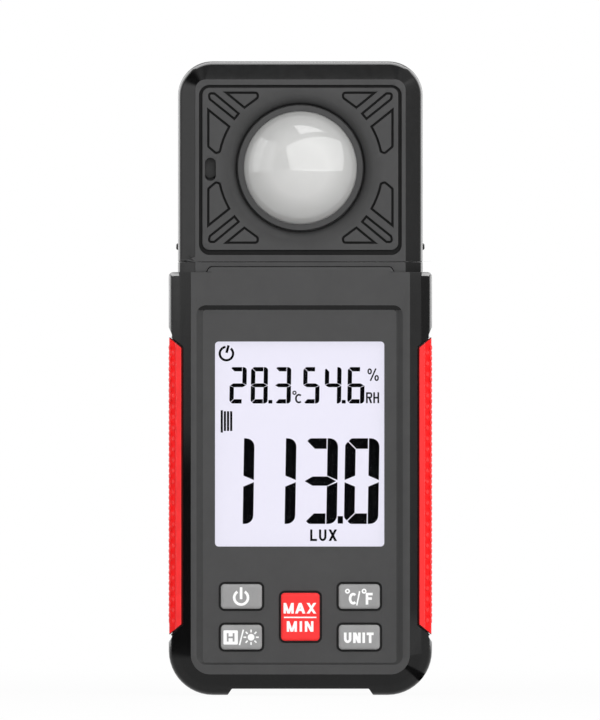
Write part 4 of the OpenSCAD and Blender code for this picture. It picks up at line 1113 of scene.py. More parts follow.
    def shoulder(self, side):
        """Chamfers the top edge of the case's bevel beside the neck."""
        profile = [(-4, 1), (-4, -1.12), (0, -1.12), (1.65, -0.1), (2.1, 0), (2.1, 1)]
        ends = (34.0, 38.5)
        return loft("shoulder", [[(side * x, bevel_y(x) + y, CROWN + z) for y, z in profile] for x in ends])

    def back(self):
        dark = finish("cover_smooth")
        piece = dressed_node("rear_case", "case_back_cover", dark, 0.0, 24)
        combine(piece, prism("trim", case_ring(0.0), CASE_SPLIT - PAST, CASE_BACK + PAST), dark, "INTERSECT")
        for side in (-1, 1):
            cut(piece, self.scoops(side), dark)
        clean(piece)
        soften(piece, 0.2, 28)
        lift(piece, CASE_TOP - 0.5, CROWN - CASE_TOP)
        grained(piece, CASE_BACK)
        wear(piece, "case", "case_plastic", "rear_case")

    def neck(self):
        """The neck, a little lower than its solid, with the tab's parting line sunk into its face."""
        dark, play, line = finish("cover_smooth"), 0.32, 0.16
        piece = dressed_node("neck_collar", "neck_collar_cover", dark, 0.0, 24)
        lift(piece, NECK_TOP - 0.01, -play)
        outline = inset(tab_outline(), -line)
        cut(piece, prism("line", outline, HEAD_FACE - PAST, HEAD_FACE + line), dark)
        clean(piece, 0.002)
        soften(piece, 0.06, 30)
        grained(piece, HEAD_FACE)
        wear(piece, "case", "case_plastic", "neck_collar")


# ---------- Grips ----------

# Grips and their seats are cut from columns of this height and depth
GRIP_SPAN = (5, 115)
GRIP_DEPTH = (-30, 40)


def grip_front(side, gap):
    """The grip's outline from the front, with slanted ends."""
    foot, top, slope = GRIP_LOW - gap, GRIP_HIGH + gap, 2.9 / 3.6
    inner, outer = GRIP_IN - 1, CASE_HALF + 2
    outline = []
    for x in (inner, CASE_HALF, outer):
        outline.append((x, foot + slope * (CASE_HALF - x)))
    for x in (outer, CASE_HALF, inner):
        outline.append((x, top - slope * (CASE_HALF - x)))
    return [(side * x, z) for x, z in outline]


def half_round(line):
    """A line on the front half, followed by its mirror image on the back half."""
    return line + [(x, mirrored(y)) for x, y in reversed(line)]


def column(name, outline, side):
    """An upright column on one side of the case, from its outline seen from above."""
    return loft(name, [[(side * x, y, z) for x, y in outline] for z in GRIP_SPAN])


def grip_seat(side):
    """What the case loses to one grip."""
    inner, outer = (GRIP_IN, bevel_y(GRIP_IN) + 0.8), (CASE_HALF - 1, bevel_y(CASE_HALF) + 0.5)
    line = [(GRIP_IN, bevel_y(GRIP_IN) - 3), inner, outer]
    outline = half_round(line) + [(CASE_HALF + 9, 24), (CASE_HALF + 9, -18)]
    seat = place("seat", column("seat", outline, side))
    combine(seat, prism("ends", grip_front(side, 0.1), *GRIP_DEPTH), None, "INTERSECT")
    return taken(seat)


def stud_rows():
    """Studs in staggered rows: one stands at each step along a line, and the line is repeated up the grip."""
    sizes = {"Pitch": 0.003, "Column step": 0.0015, "Radius": 0.0005, "Height": 0.0003, "Start": 0.02}
    n = Shaping("grip studs", {"Line": "Object", **sizes, "Rows": 27.0})
    given = n.given
    line = {"Curve": n.add("GeometryNodeMeshToCurve", {0: n.object("Line")}).outputs[0]}
    line["Length"] = given["Column step"]
    spots = n.add("GeometryNodeResampleCurve", line, mode="LENGTH").outputs[0]
    spots = n.store(spots, "column", n.add("GeometryNodeInputIndex").outputs[0])
    along = n.add("GeometryNodeInputTangent").outputs[0]
    lean = n.add("ShaderNodeVectorMath", {0: along, 1: (0, 0, 1)}, operation="CROSS_PRODUCT")
    spots = n.store(spots, "lean", lean.outputs["Vector"], "FLOAT_VECTOR")
    rise = {"Count": given["Rows"], "Offset": n.upwards(given["Pitch"])}
    rows = n.add("GeometryNodeMeshLine", rise, mode="OFFSET", count_mode="TOTAL").outputs[0]
    spots = n.real(n.add("GeometryNodeInstanceOnPoints", {"Points": spots, "Instance": rows}).outputs[0])
    odd = n.maths("MODULO", n.stored("column"), 2.0)
    shift = n.maths("MULTIPLY", odd, n.maths("MULTIPLY", given["Pitch"], 0.5))
    offset = n.upwards(n.maths("ADD", shift, given["Start"]))
    spots = n.add("GeometryNodeSetPosition", {"Geometry": spots, "Offset": offset}).outputs[0]
    turn = n.add("FunctionNodeAlignRotationToVector", {"Vector": n.stored("lean", "FLOAT_VECTOR")}, axis="Z")
    narrower = n.maths("MULTIPLY", given["Radius"], 0.6)
    cone = {"Radius Bottom": given["Radius"], "Radius Top": narrower, "Depth": given["Height"]}
    stud = n.add("GeometryNodeMeshCone", {"Vertices": 10, **cone}).outputs
    # The studs' flanks are marked for painted shade
    mark = n.maths("MULTIPLY", stud["Side"], STUD_MARK)
    stud = n.store(stud["Mesh"], "flank", mark, domain="FACE")
    studs = {"Points": spots, "Instance": stud, "Rotation": turn.outputs["Rotation"]}
    whole = n.add("GeometryNodeJoinGeometry")
    n.link(n.add("GeometryNodeInstanceOnPoints", studs).outputs[0], whole.inputs[0])
    n.link(given["Geometry"], whole.inputs[0])
    return n.end(whole.outputs[0])


class METER_OT_grips(bpy.types.Operator):
    """Builds the two soft grips with their rows of studs"""

    bl_idname = "meter.grips"
    bl_label = "Grips"

    def execute(self, context):
        sizes = context.scene.meter_grip
        studs = stud_rows()
        for side, name, node in ((-1, "grip_left_pad", "grip_left"), (1, "grip_right_pad", "grip_right")):
            grip = self.pad(name, side)
            self.mark(grip, side)
            line = self.stud_line(side)
            values = {
                "Line": line,
                "Pitch": sizes.pitch,
                "Column step": sizes.step,
                "Radius": sizes.radius,
                "Height": sizes.height,
                "Start": 20.9 * MM,
                "Rows": 26.0,
                "Finish": finish("grip_red"),
            }
            studs.use(grip, values)
            bpy.data.objects.remove(line)
            smooth(grip, 42)
            wear(grip, "case", "red_rubber", node)
        return {"FINISHED"}

    def surface(self):
        """The outer line on the front half: a wall, a band along the inner edge, then round to the side."""
        wall_x, step = GRIP_IN + 0.03, 34.8
        corners = [
            (wall_x, bevel_y(GRIP_IN) + 0.3),
            (wall_x + 0.5, bevel_y(wall_x + 0.5) - 0.75),
            (step, bevel_y(step) - 1.05),
            (step + 0.2, bevel_y(step + 0.2) - 0.42),
            (GRIP_OUT, bevel_y(GRIP_OUT) - 0.3),
            (GRIP_OUT, AXIS_Y),
        ]
        return rounded(corners, [0, 0.12, 0.25, 0.1, 1.2, 0], 5, closed=False)[:-1]

    def pad(self, name, side):
        inner = [(CASE_HALF - 0.9, bevel_y(CASE_HALF) + 0.4), (GRIP_IN + 0.03, bevel_y(GRIP_IN) + 0.7)]
        back = [(x, mirrored(y)) for x, y in reversed(inner)]
        outline = half_round(self.surface()) + back + inner
        grip = place(name, column(name, outline, side), finish("grip_red"))
        ends = prism("ends", grip_front(side, -0.25), *GRIP_DEPTH)
        combine(grip, ends, finish("grip_red"), "INTERSECT")
        clean(grip)
        soften(grip, 0.28, 40)
        return grip

    def mark(self, grip, side):
        """Marks the inner wall with the ends, and the side, which take painted shade."""
        wall_end, side_start = GRIP_IN + 0.62, 34.9
        marks = grip.data.attributes.new("flank", "FLOAT", "FACE")
        for mark, polygon in zip(marks.data, grip.data.polygons):
            out, spot = polygon.normal, abs(polygon.center.x)
            if abs(out.z) > 0.3 or (spot < wall_end * MM and -side * out.x > 0.3):
                mark.value = WALL_MARK
            elif spot > side_start * MM:
                mark.value = SIDE_MARK

    def stud_line(self, side):
        """The line across the grip that the studs stand on; it runs so that they point outwards."""
        start_x, clear_x, sunk = 35.5, 35.8, 0.38
        front = [(start_x, bevel_y(start_x) - sunk)] + [p for p in self.surface() if p[0] > clear_x]
        path = [(side * x, y, 0) for x, y in half_round(front)][::side]
        line = place("rows", mesh_of("rows", path, []))
        line.data.edges.add(len(path) - 1)
        for k, edge in enumerate(line.data.edges):
            edge.vertices = (k, k + 1)
        return line


# ---------- Printed shapes ----------


def printed_shapes(name, outlines, front, back):
    """Flat shapes as thin plates, each a hair off its neighbours, so that none share a plane."""
    hair, cycle = 0.004, 5
    return [prism(name, outline, front - hair * (k % cycle), back) for k, outline in enumerate(outlines)]


def segments(text, x, z, w, h, t, gap):
    """Outlines of a leaning seven-segment figure of width w, height h and stroke t, from its corner x, z."""
    lean, m, slip, cut_off = 0.0165, h / 2, 0.7 * gap, 0.27 * t
    top = [(cut_off + slip, h - cut_off), (t + slip, h - t), (w - t - gap, h - t), (w - t - gap, h)]
    top = rounded(top + [(0.5 * t + slip, h)], [0, 0, 0, 0, 0.4 * t], 3)
    left = [(cut_off, h - cut_off - slip), (0, h - 0.6 * t), (0, m + 0.1 * t), (t, m + 0.52 * t)]
    left = rounded(left + [(t, h - t - slip)], [0, 0.4 * t, 0, 0, 0], 3)
    right = rounded([(w - t, h), (w - t, m + 0.52 * t), (w, m + 0.1 * t), (w, h)], [0, 0, 0, 0.8 * t], 5)
    below = [(0.13 * t, m), (0.88 * t, m - 0.44 * t), (w - 0.95 * t, m - 0.44 * t), (w - 0.14 * t, m)]
    bar = below + [(w - 0.95 * t, m + 0.44 * t), (0.88 * t, m + 0.44 * t)]

    def flip(outline):
        return [(u, h - v) for u, v in reversed(outline)]

    shapes = {"a": top, "b": right, "c": flip(right), "d": flip(top), "e": flip(left), "f": left, "g": bar}
    lit = {"0": "abcdef", "1": "bc", "2": "abdeg", "3": "abcdg", "4": "bcfg", "5": "acdfg", "6": "acdefg"}
    lit["8"] = "abcdefg"
    return [[(x + u + lean * v, z + v) for u, v in shapes[key]] for key in lit[text]]


def figures_of(row, z, h, t, gap):
    """Outlines of a row of figures, each one given as its text, place and width."""
    return [outline for text, x, w in row for outline in segments(text, x, z, w, h, t, gap)]


def bow(x, z, rx, rz, width, start, sweep, steps=20):
    """Part of an oval ring, in degrees from the right."""
    start, sweep = math.radians(start), math.radians(sweep)
    inner = arc(x, z, rx - width, rz - width, start, sweep, steps)
    return arc(x, z, rx, rz, start, sweep, steps) + inner[::-1]


def degree_sign(x, z, radius, width, steps=20):
    """A small ring, left open by less than can be seen, so that its outline doesn't cross itself."""
    return bow(x, z, radius, radius, width, 0, 359.5, steps)


def broken_ring(x, z, radius, width, half_gap, tilt=0.0):
    """A ring that is open at its top, as in a power symbol; its angles are in degrees."""
    return bow(x, z, radius, radius, width, 90 + half_gap - tilt, 360 - 2 * half_gap, 40)


def stroke(x0, z0, x1, z1, width):
    """A straight line of some width."""
    a, b = Vector((x0, z0)), Vector((x1, z1))
    side = (b - a).normalized().orthogonal() * width / 2
    return [tuple(p) for p in (a - side, b - side, b + side, a + side)]


def slant(x0, x1, z0, z1, width):
    """A sloping line whose ends are cut level."""
    half = width / 2
    return [(x0 - half, z0), (x0 + half, z0), (x1 + half, z1), (x1 - half, z1)]


def letter(sign, x, z, w, h, t):
    """Outlines of a plain block letter of width w, height h and stroke t, from its lower left corner x, z."""
    r, m, mid, top = x + w, z + h / 2, x + w / 2, z + h
    s = 1.18 * t
    bowl, bowl_x, elbow = (h / 2 + 0.35 * t) / 2, r - 0.3 * w, 0.4 * h

    def post(left, foot=z):
        return rectangle(left, left + t, foot, top)

    def bar(bottom, left=x, right=r):
        return rectangle(left, right, bottom, bottom + t)

    shapes = {
        "A": [
            slant(x + s / 2, mid, z, top, s),
            slant(r - s / 2, mid, z, top, s),
            bar(z + 0.24 * h, x + 0.22 * w, r - 0.22 * w),
        ],
        "C": [bow(x + w * 0.54, m, w * 0.54, h / 2, t, 48, 264)],
        "F": [post(x), bar(top - t), bar(m - 0.45 * t, x, r - 0.12 * w)],
        "H": [post(x), post(r - t), bar(m - t / 2)],
        "I": [post(x)],
        "L": [post(x), bar(z)],
        "M": [
            post(x),
            post(r - t),
            slant(mid, x + 0.55 * t, z, top, 1.05 * t),
            slant(mid, r - 0.55 * t, z, top, 1.05 * t),
        ],
        "N": [post(x), post(r - t), slant(r - 0.6 * t, x + 0.6 * t, z, top, 1.2 * t)],
        "R": [
            post(x),
            bar(top - t, x, bowl_x),
            bar(m - 0.35 * t, x, bowl_x),
            bow(bowl_x, top - bowl, 0.3 * w, bowl, t, -90, 180),
            slant(r - s / 2, r - 0.48 * w, z, m, s),
        ],
        "T": [post(mid - t / 2), bar(top - t)],
        "U": [post(x, z + elbow), post(r - t, z + elbow), bow(mid, z + elbow, w / 2, elbow, t, 180, 180)],
        "X": [slant(x + s / 2, r - s / 2, z, top, s), slant(r - s / 2, x + s / 2, z, top, s)],
    }
    return shapes[sign]


def word(text, x, z, widths, h, t, space):
    """Outlines of a row of block letters."""
    found = []
    for sign, w in zip(text, widths):
        found += letter(sign, x, z, w, h, t)
        x += w + space
    return found


# ---------- Display ----------


class METER_OT_display(bpy.types.Operator):
    """Builds the display's window, its ground and the figures it shows"""

    bl_idname = "meter.display"
    bl_label = "Display"

    def execute(self, context):
        window = place("display_window", self.window(), finish("window_clear"))
        smooth(window)
        wear(window, "case", "window", "lcd_window")
        printing = (
            ("display_figures", self.readings() + self.cell_sign(), "display_ink"),
            ("display_unit", word("LUX", 2.75, 43.2, (1.9, 2.1, 2.4), 3.25, 0.62, 0.57), "display_ink"),
            ("display_small_units", self.small_units(), "display_grey"),
        )
        front, back = low("lcd_glass", "y") - 0.05, low("lcd_glass", "y") - 0.01
        for name, outlines, look in printing:
            mesh = joined(name, printed_shapes(name, outlines, front, back))
            wear(place(name, mesh, finish(look)), "case", "lcd")
        return {"FINISHED"}

    def window(self):
        """The clear plate: its raised middle fills the opening, and its wider back lies behind the cover."""
        ledge, corner, back = 2.5, 0.9, high("lcd_window", "y")
        front, step = low("lcd_window", "y"), back - 1.0
        half, foot, top = high("lcd_window", "x"), low("lcd_window", "z"), high("lcd_window", "z")
        levels = (
            (ledge + 0.25, front),
            (ledge + 0.08, front + 0.07),
            (ledge, front + 0.25),
            (ledge, step),
            (0.0, step),
            (0.0, back),
        )
        rings = []
        for amount, y in levels:
            outline = rectangle(-half + amount, half - amount, foot + amount, top - amount, corner)
            rings.append(at_depth(outline, y))
        return loft("display_window", rings)

    def readings(self):
        """The two small readings and the large one under them, with their points."""
        small_z, point, large_z = 81.75, 1.1, 48.0
        small = (("2", -19.9, 4.75), ("8", -13.95, 4.75), ("3", -7.3, 4.6))
        small += (("5", 0.7, 4.6), ("4", 6.75, 4.65), ("6", 13.15, 4.75))
        large = (("1", -22.82, 9.6), ("1", -11.07, 9.6), ("3", 0.6, 9.6), ("0", 12.2, 9.6))
        outlines = figures_of(small, small_z, 10.2, 1.2, 0.13)
        for x in (-8.95, 11.6):
            outlines.append(rectangle(x, x + point, small_z, small_z + 1.0, 0.1, 2))
        outlines += figures_of(large, large_z, 24.0, 2.95, 0.26)
        outlines.append(rectangle(10.45, 11.95, large_z + 0.1, large_z + 2.2, 0.1, 2))
        return outlines

    def cell_sign(self):
        """The power sign over the readings, and the four bars of the cells' level."""
        bar, pitch, foot, top, taller = 0.62, 0.88, 74.05, 79.6, 0.45
        outlines = [broken_ring(-20.72, 95.74, 2.2, 0.66, 24, 17), stroke(-20.7, 95.95, -20.1, 98.05, 0.7)]
        for k in range(4):
            x, more = -22.33 + pitch * k, 0.0 if k else taller
            outlines.append(rectangle(x, x + bar, foot - more, top + 0.6 * more, 0.05, 2))
        return outlines

    def small_units(self):
        """Degrees Celsius, and relative humidity in per cent."""
        outlines = letter("C", -1.5, 81.8, 2.0, 2.65, 0.5)
        outlines += word("RH", 18.4, 81.85, (1.75, 1.65), 3.05, 0.48, 0.28)
        outlines.append(degree_sign(-1.65, 84.75, 0.6, 0.34))
        outlines.append(stroke(19.62, 88.1, 21.17, 91.55, 0.42))
        for x, z in ((19.42, 90.75), (21.37, 88.9)):
            outlines.append(bow(x, z, 0.64, 0.86, 0.42, 0, 359.5))
        return outlines


# ---------- Keys ----------


class METER_OT_keys(bpy.types.Operator):
    """Builds the five keys with their legends"""

    bl_idname = "meter.keys"
    bl_label = "Keys"

    def execute(self, context):
        legends = {
            "power_key": self.power_sign,
            "hold_key": self.hold_signs,
            "max_min_key": self.max_min_words,
            "temperature_key": self.degree_signs,
            "unit_key": self.unit_word,
        }
        for node in KEYS:
            x, z = middle(node, "x"), middle(node, "z")
            look, slot = ("key_red", "red_key") if node == "max_min_key" else ("key_grey", "grey_key")
            # The cap's sides and flange take the slope's painted shade
            cap = place(node + "_cap", self.cap(node), finish(look), finish("panel_slope"))
            smooth(cap)
            wear(cap, node, slot, node)
            front = low(node, "y") - 0.02
            marks = printed_shapes("mark", legends[node](x, z), front, front + 0.05)
            if node == "hold_key":
                marks.insert(0, self.hold_badge(x, z, front, front + 0.05))
            legend = place(node + "_legend", joined("legend", marks), finish("legend_white"))
            wear(legend, node, "dome_white")
        return {"FINISHED"}

    def cap(self, node):
        """A key with a soft edge, and the flange that holds it behind the cover."""
        play, roll, drop, power, corner, flange, steps = 0.24, 1.25, 0.62, 1.2, 1.3, 1.0, 10
        front, back = low(node, "y"), high(node, "y")
        x, z, half_x, half_z = key_face(node)

        def ring(amount, y, radius):
            wide, tall = half_x - amount, half_z - amount
            return at_depth(rectangle(x - wide, x + wide, z - tall, z + tall, radius), y)

        line = []
        for k in range(steps + 1):
            t = math.pi / 2 * k / steps
            line.append((play + roll * (1 - math.sin(t)), front + drop * (1 - math.cos(t)) ** power))
        line += [(play, front + 0.9), (play, back - flange)]
        rings = [ring(amount, y, max(0.25, corner - amount)) for amount, y in line]
        rings += [ring(-flange, y, 2.2) for y in (back - flange, back)]
        bands = [0] * (len(line) - 2) + [1, 1, 1]
        return loft(node, rings, bands, caps=(0, 1))

    def power_sign(self, x, z):
        upright = rectangle(x - 0.47, x + 0.27, z - 0.75, z + 2.6, 0.1, 2)
        return [broken_ring(x - 0.1, z - 0.3, 2.3, 0.74, 32), upright]

    def unit_word(self, x, z):
        return word("UNIT", x - 4.3, z - 1.62, (2.1, 2.15, 0.74, 1.95), 2.95, 0.74, 0.46)

    def max_min_words(self, x, z):
        line = rectangle(x - 4.6, x + 4.5, z - 0.33, z + 0.05, 0.05, 2)
        upper = word("MAX", x - 4.7, z + 0.95, (2.85, 2.9, 2.7), 2.95, 0.68, 0.35)
        lower = word("MIN", x - 3.8, z - 4.15, (2.85, 0.7, 2.4), 2.95, 0.68, 0.75)
        return upper + lower + [line]

    def degree_signs(self, x, z):
        marks = letter("C", x - 2.95, z - 2.25, 2.3, 3.3, 0.74)
        marks += letter("F", x + 1.8, z - 2.25, 1.95, 3.3, 0.72)
        marks.append(stroke(x - 0.7, z - 2.5, x + 0.1, z + 1.5, 0.42))
        return marks + [degree_sign(x + dx, z + 1.5, 0.7, 0.42, 24) for dx in (-3.3, 1.35)]

    def hold_signs(self, x, z):
        """A slash, and a lamp with its eight rays."""
        lamp_x, rays, inner, outer, line = x + 2.7, 8, 1.35, 2.15, 0.42
        marks = [stroke(x - 0.55, z - 2.2, x + 0.55, z + 2.15, line), circle(0.95, lamp_x, z, 24)]
        for k in range(rays):
            c, s = math.cos(math.tau * k / rays), math.sin(math.tau * k / rays)
            marks.append(stroke(lamp_x + inner * c, z + inner * s, lamp_x + outer * c, z + outer * s, line))
        return marks

    def hold_badge(self, x, z, front, back):
        """A filled square with a letter cut out of it."""
        square = rectangle(x - 5.05, x - 1.0, z - 2.05, z + 1.95, 0.3, 3)
        badge = place("badge", prism("mark", square, front, back))
        for outline in letter("H", x - 4.1, z - 1.2, 2.15, 2.35, 0.5):
            cut(badge, prism("hole", outline, front - PAST, front + PAST))
        return taken(badge)


# ---------- Back and inner pieces ----------


class METER_OT_back(bpy.types.Operator):
    """Dresses the battery door and the tripod insert"""

    bl_idname = "meter.back"
    bl_label = "Door and tripod insert"

    def execute(self, context):
        door = dressed_node("battery_door", "battery_door_cover", finish("cover_smooth"), 0.18, 28)
        grained(door, high("battery_door", "y"))
        wear(door, "door", "case_plastic", "battery_door")
        insert = dressed_node("tripod_insert", "tripod_socket", finish("brass"), 0.1, 28)
        wear(insert, "case", "brass", "tripod_insert")
        return {"FINISHED"}


def screw_shape(name, head_r, head_h, shank_r, length, look):
    """A pan-headed screw that looks along +Y, with a cross recess."""
    line = [(0, head_h), (head_r, head_h), (head_r, 0), (shank_r, 0)]
    line = rounded(line, [0, head_h * 0.45, 0.05, 0], 5, closed=False)
    core_r, turns = shank_r * 0.8, max(4, int(length / 0.7))
    for k in range(turns):
        y = -length * (k + 0.5) / turns
        line += [(shank_r, y + 0.22), (core_r, y - 0.05)]
    line += [(core_r, -length + 0.2), (0.0, -length)]
    screw = place(name, turned(name, line, 0, 0, 28), finish(look))
    arm, thick, floor, foot = head_r * 0.62, head_r * 0.2, head_h * 0.35, 0.55
    for a, b in ((arm, thick), (thick, arm)):
        lower, upper = (rectangle(-a * share, a * share, -b * share, b * share) for share in (foot, 1.0))
        slot = loft("slot", [at_depth(lower, floor), at_depth(upper, head_h + 0.2)])
        cut(screw, slot, finish("dark_steel"))
    clean(screw, 0.002)
    smooth(screw, 34)
    return screw


def scatter():
    """One template on each given point."""
    n = Shaping("screws", {"Template": "Object", "Size": 1.0})
    spots = {"Points": n.given["Geometry"], "Instance": n.object("Template"), "Scale": n.given["Size"]}
    return n.end(n.add("GeometryNodeInstanceOnPoints", spots).outputs[0])


def boxes_of(node):
    """The two corners of the box round each loose solid of a CAD node."""
    work = welded(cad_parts[node].data)
    left, found = set(work.verts), []
    while left:
        island, queue = [], [left.pop()]
        while queue:
            vertex = queue.pop()
            island.append(vertex.co)
            for edge in vertex.link_edges:
                other = edge.other_vert(vertex)
                if other in left:
                    left.remove(other)
                    queue.append(other)
        found.append([Vector(pick(co[i] for co in island) for i in range(3)) for pick in (min, max)])
    work.free()
    return sorted(found, key=lambda pair: tuple(round(c, 6) for c in pair[0]))


class METER_OT_screws(bpy.types.Operator):
    """Builds the screws of the case, the head and the boards"""

    bl_idname = "meter.screws"
    bl_label = "Screws"

    def execute(self, context):
        tree = scatter()
        # (node, body, height and radius of the head, radius and length of the shank, look)
        rows = (
            ("case_screws", "case", 1.8, 2.4, 1.3, 12.0, "dark_steel"),
            ("head_screws", "head", 1.2, 1.8, 0.95, 10.0, "dark_steel"),
            ("board_screws", "case", 1.2, 1.8, 0.95, 5.0, "steel"),
            ("sensor_board_screws", "head", 1.2, 1.8, 0.95, 5.0, "steel"),
        )
        for node, body, head_h, head_r, shank_r, length, look in rows:
            template = screw_shape("template", head_r, head_h, shank_r, length, look)
            spots = []
            for lo, hi in boxes_of(node):
                spots.append(((lo.x + hi.x) / 2 / MM, hi.y / MM - head_h, (lo.z + hi.z) / 2 / MM))
            piece = place(node + "_set", mesh_of(node, spots, []))
            tree.use(piece, {"Template": template, "Size": 1.0, "Finish": finish(look)})
            bpy.data.objects.remove(template)
            wear(piece, body, "steel", node)
        return {"FINISHED"}


class METER_OT_inner(bpy.types.Operator):
    """Gives the inner CAD pieces their finishes"""

    bl_idname = "meter.inner"
    bl_label = "Inner pieces"

    def execute(self, context):
        looks = {
            "display_ground": ("lcd_glass",),
            "frame_white": ("lcd_backlight", "lcd_frame", "harness_connector", "sensor_connector"),
            "zebra_pink": ("zebra_strips",),
            "board_green": ("main_board", "sensor_board"),
            "chip_black": ("board_components", "photodiode", "humidity_sensor"),
            "wire_red": ("sensor_harness",),
            "mat_rubber": ("keypad_mat",),
            "cell_jacket": ("battery_cells",),
            "steel": ("battery_springs", "battery_contacts", "swivel_retaining_ring"),
            "cover_smooth": ("battery_door_latch",),
            "holder_black": ("swivel_spigot", "sensor_holder"),
            "brass": ("swivel_washer",),
            "filter_green": ("colour_filter",),
            "vent_membrane": ("humidity_vent",),
        }
        for look, nodes in looks.items():
            for node in nodes:
                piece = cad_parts[node]
                piece.data.materials.clear()
                piece.data.materials.append(finish(look))
        return {"FINISHED"}


# ---------- Stage ----------


def stage_finish(name):
    """A bare material of the stage, and its tree."""
    material = bpy.data.materials.new(name)
    material.use_nodes = True
    return material, Tree(material.node_tree)


def seen_white(name, near):
    """White where the camera, a reflection or a clear piece sees it.

    Near the object a small matt share stays, which keeps the object's shadow.
    """
    material, n = stage_finish(name)
    matt = n.add("ShaderNodeBsdfDiffuse", {"Color": (0.85, 0.85, 0.85, 1)})
    glow = n.add("ShaderNodeEmission")
    spot = n.add("ShaderNodeTexCoord").outputs["Object"]
    far = n.add("ShaderNodeVectorMath", {0: spot}, operation="LENGTH").outputs["Value"]
    seen = n.seen_by("Camera", "Glossy", "Transmission")
    share = n.maths("MULTIPLY", seen, n.spread(far, near, 1.0, 0.05, 0.45))
    n.add("ShaderNodeOutputMaterial", {"Surface": n.blend(share, matt.outputs[0], glow.outputs[0])})
    return material


def surroundings():
    """An even fill light; what is seen of it is white, and reflections find it grey in front of the meter."""
    world = bpy.data.worlds.new("surroundings")
    world.use_nodes = True
    n = Tree(world.node_tree)
    heading = n.add("ShaderNodeTexCoord").outputs["Generated"]
    ahead = n.add("ShaderNodeSeparateXYZ", {0: heading}).outputs["Y"]
    direct = n.seen_by("Camera", "Transmission")
    reflected = n.spread(ahead, 0.3, 1.0, -0.95, -0.4)
    level = n.maths("MAXIMUM", direct, reflected)
    fill = n.add("ShaderNodeBackground", {"Strength": 0.46})
    seen = n.add("ShaderNodeBackground", {"Color": (1, 1, 1, 1), "Strength": level})
    every = n.maths("MAXIMUM", direct, n.seen_by("Glossy"))
    n.add("ShaderNodeOutputWorld", {"Surface": n.blend(every, fill.outputs[0], seen.outputs[0])})
    return world


def softbox(name, azimuths, elevations, level, distance, lit, reflected):
    """A soft light that fills a span of angles seen from the head; azimuth 0 is ahead, 90 to the right.

    One that isn't lit shows in glossy surfaces only, and one that isn't reflected never does.
    """
    aim = Vector((0, 0, 0.13))
    azimuth, elevation = (math.radians(sum(pair) / 2) for pair in (azimuths, elevations))
    spans = (math.radians(pair[1] - pair[0]) for pair in (azimuths, elevations))
    width, height = (2 * distance * math.tan(span / 2) for span in spans)
    light = bpy.data.lights.new(name, "AREA")
    light.shape, light.size, light.size_y = "RECTANGLE", width, height
    light.energy = level * math.pi * width * height
    holder = bpy.data.objects.new(name, light)
    bpy.context.scene.collection.objects.link(holder)
    flat = math.cos(elevation)
    out = Vector((math.sin(azimuth) * flat, -math.cos(azimuth) * flat, math.sin(elevation)))
    holder.location = out * distance + aim
    holder.rotation_euler = (-out).to_track_quat("-Z", "Y").to_euler()
    holder.visible_camera = False
    holder.visible_diffuse, holder.visible_glossy = lit, reflected


def reflected_card(name, mesh, material):
    """A card of the stage that only glossy surfaces see."""
    card = place(name, mesh, material)
    card.visible_camera = card.visible_diffuse = card.visible_transmission = card.visible_shadow = False


def glow_card(name, corners, level):
    """A bright ceiling card of any outline; its corners are given as seen from the head at height 1."""
    rise, thick, eye = 1500.0, 5.0, 130.0
    rings = [[(x * rise, y * rise, eye + z) for x, y in corners] for z in (rise, rise + thick)]
    material, n = stage_finish(name)
    glow = n.add("ShaderNodeEmission", {"Strength": level})
    n.add("ShaderNodeOutputMaterial", {"Surface": glow.outputs[0]})
    reflected_card(name, loft(name, rings), material)


def flag(name, spot, facing, width, height, feather, reach, level=1.0):
    """A dark card with soft edges beside the object, seen only by what lies within reach of it."""
    halves = ((width / 2, height / 2), (width / 2 - feather, height / 2 - feather))
    outer, inner = (at_depth(rectangle(-w, w, -h, h), 0) for w, h in halves)
    count = len(outer)
    faces = [(k, (k + 1) % count, count + (k + 1) % count, count + k) for k in range(count)]
    mesh = mesh_of(name, outer + inner, faces + [tuple(range(count, 2 * count))])
    mesh.attributes.new("edge", "FLOAT", "POINT").data.foreach_set("value", [0.0] * count + [level] * count)
    mesh.transform(Vector(facing).to_track_quat("-Y", "Z").to_matrix().to_4x4())
    mesh.transform(Matrix.Translation(Vector(spot) * MM))
    material, n = stage_finish(name)
    near = n.maths("LESS_THAN", n.add("ShaderNodeLightPath").outputs["Ray Length"], reach * MM)
    share = n.maths("MULTIPLY", near, n.add("ShaderNodeAttribute", attribute_name="edge").outputs["Fac"])
    clear = n.add("ShaderNodeBsdfTransparent")
    dark = n.add("ShaderNodeBsdfDiffuse", {"Color": (0, 0, 0, 1)})
    n.add("ShaderNodeOutputMaterial", {"Surface": n.blend(share, clear.outputs[0], dark.outputs[0])})
    reflected_card(name, mesh, material)


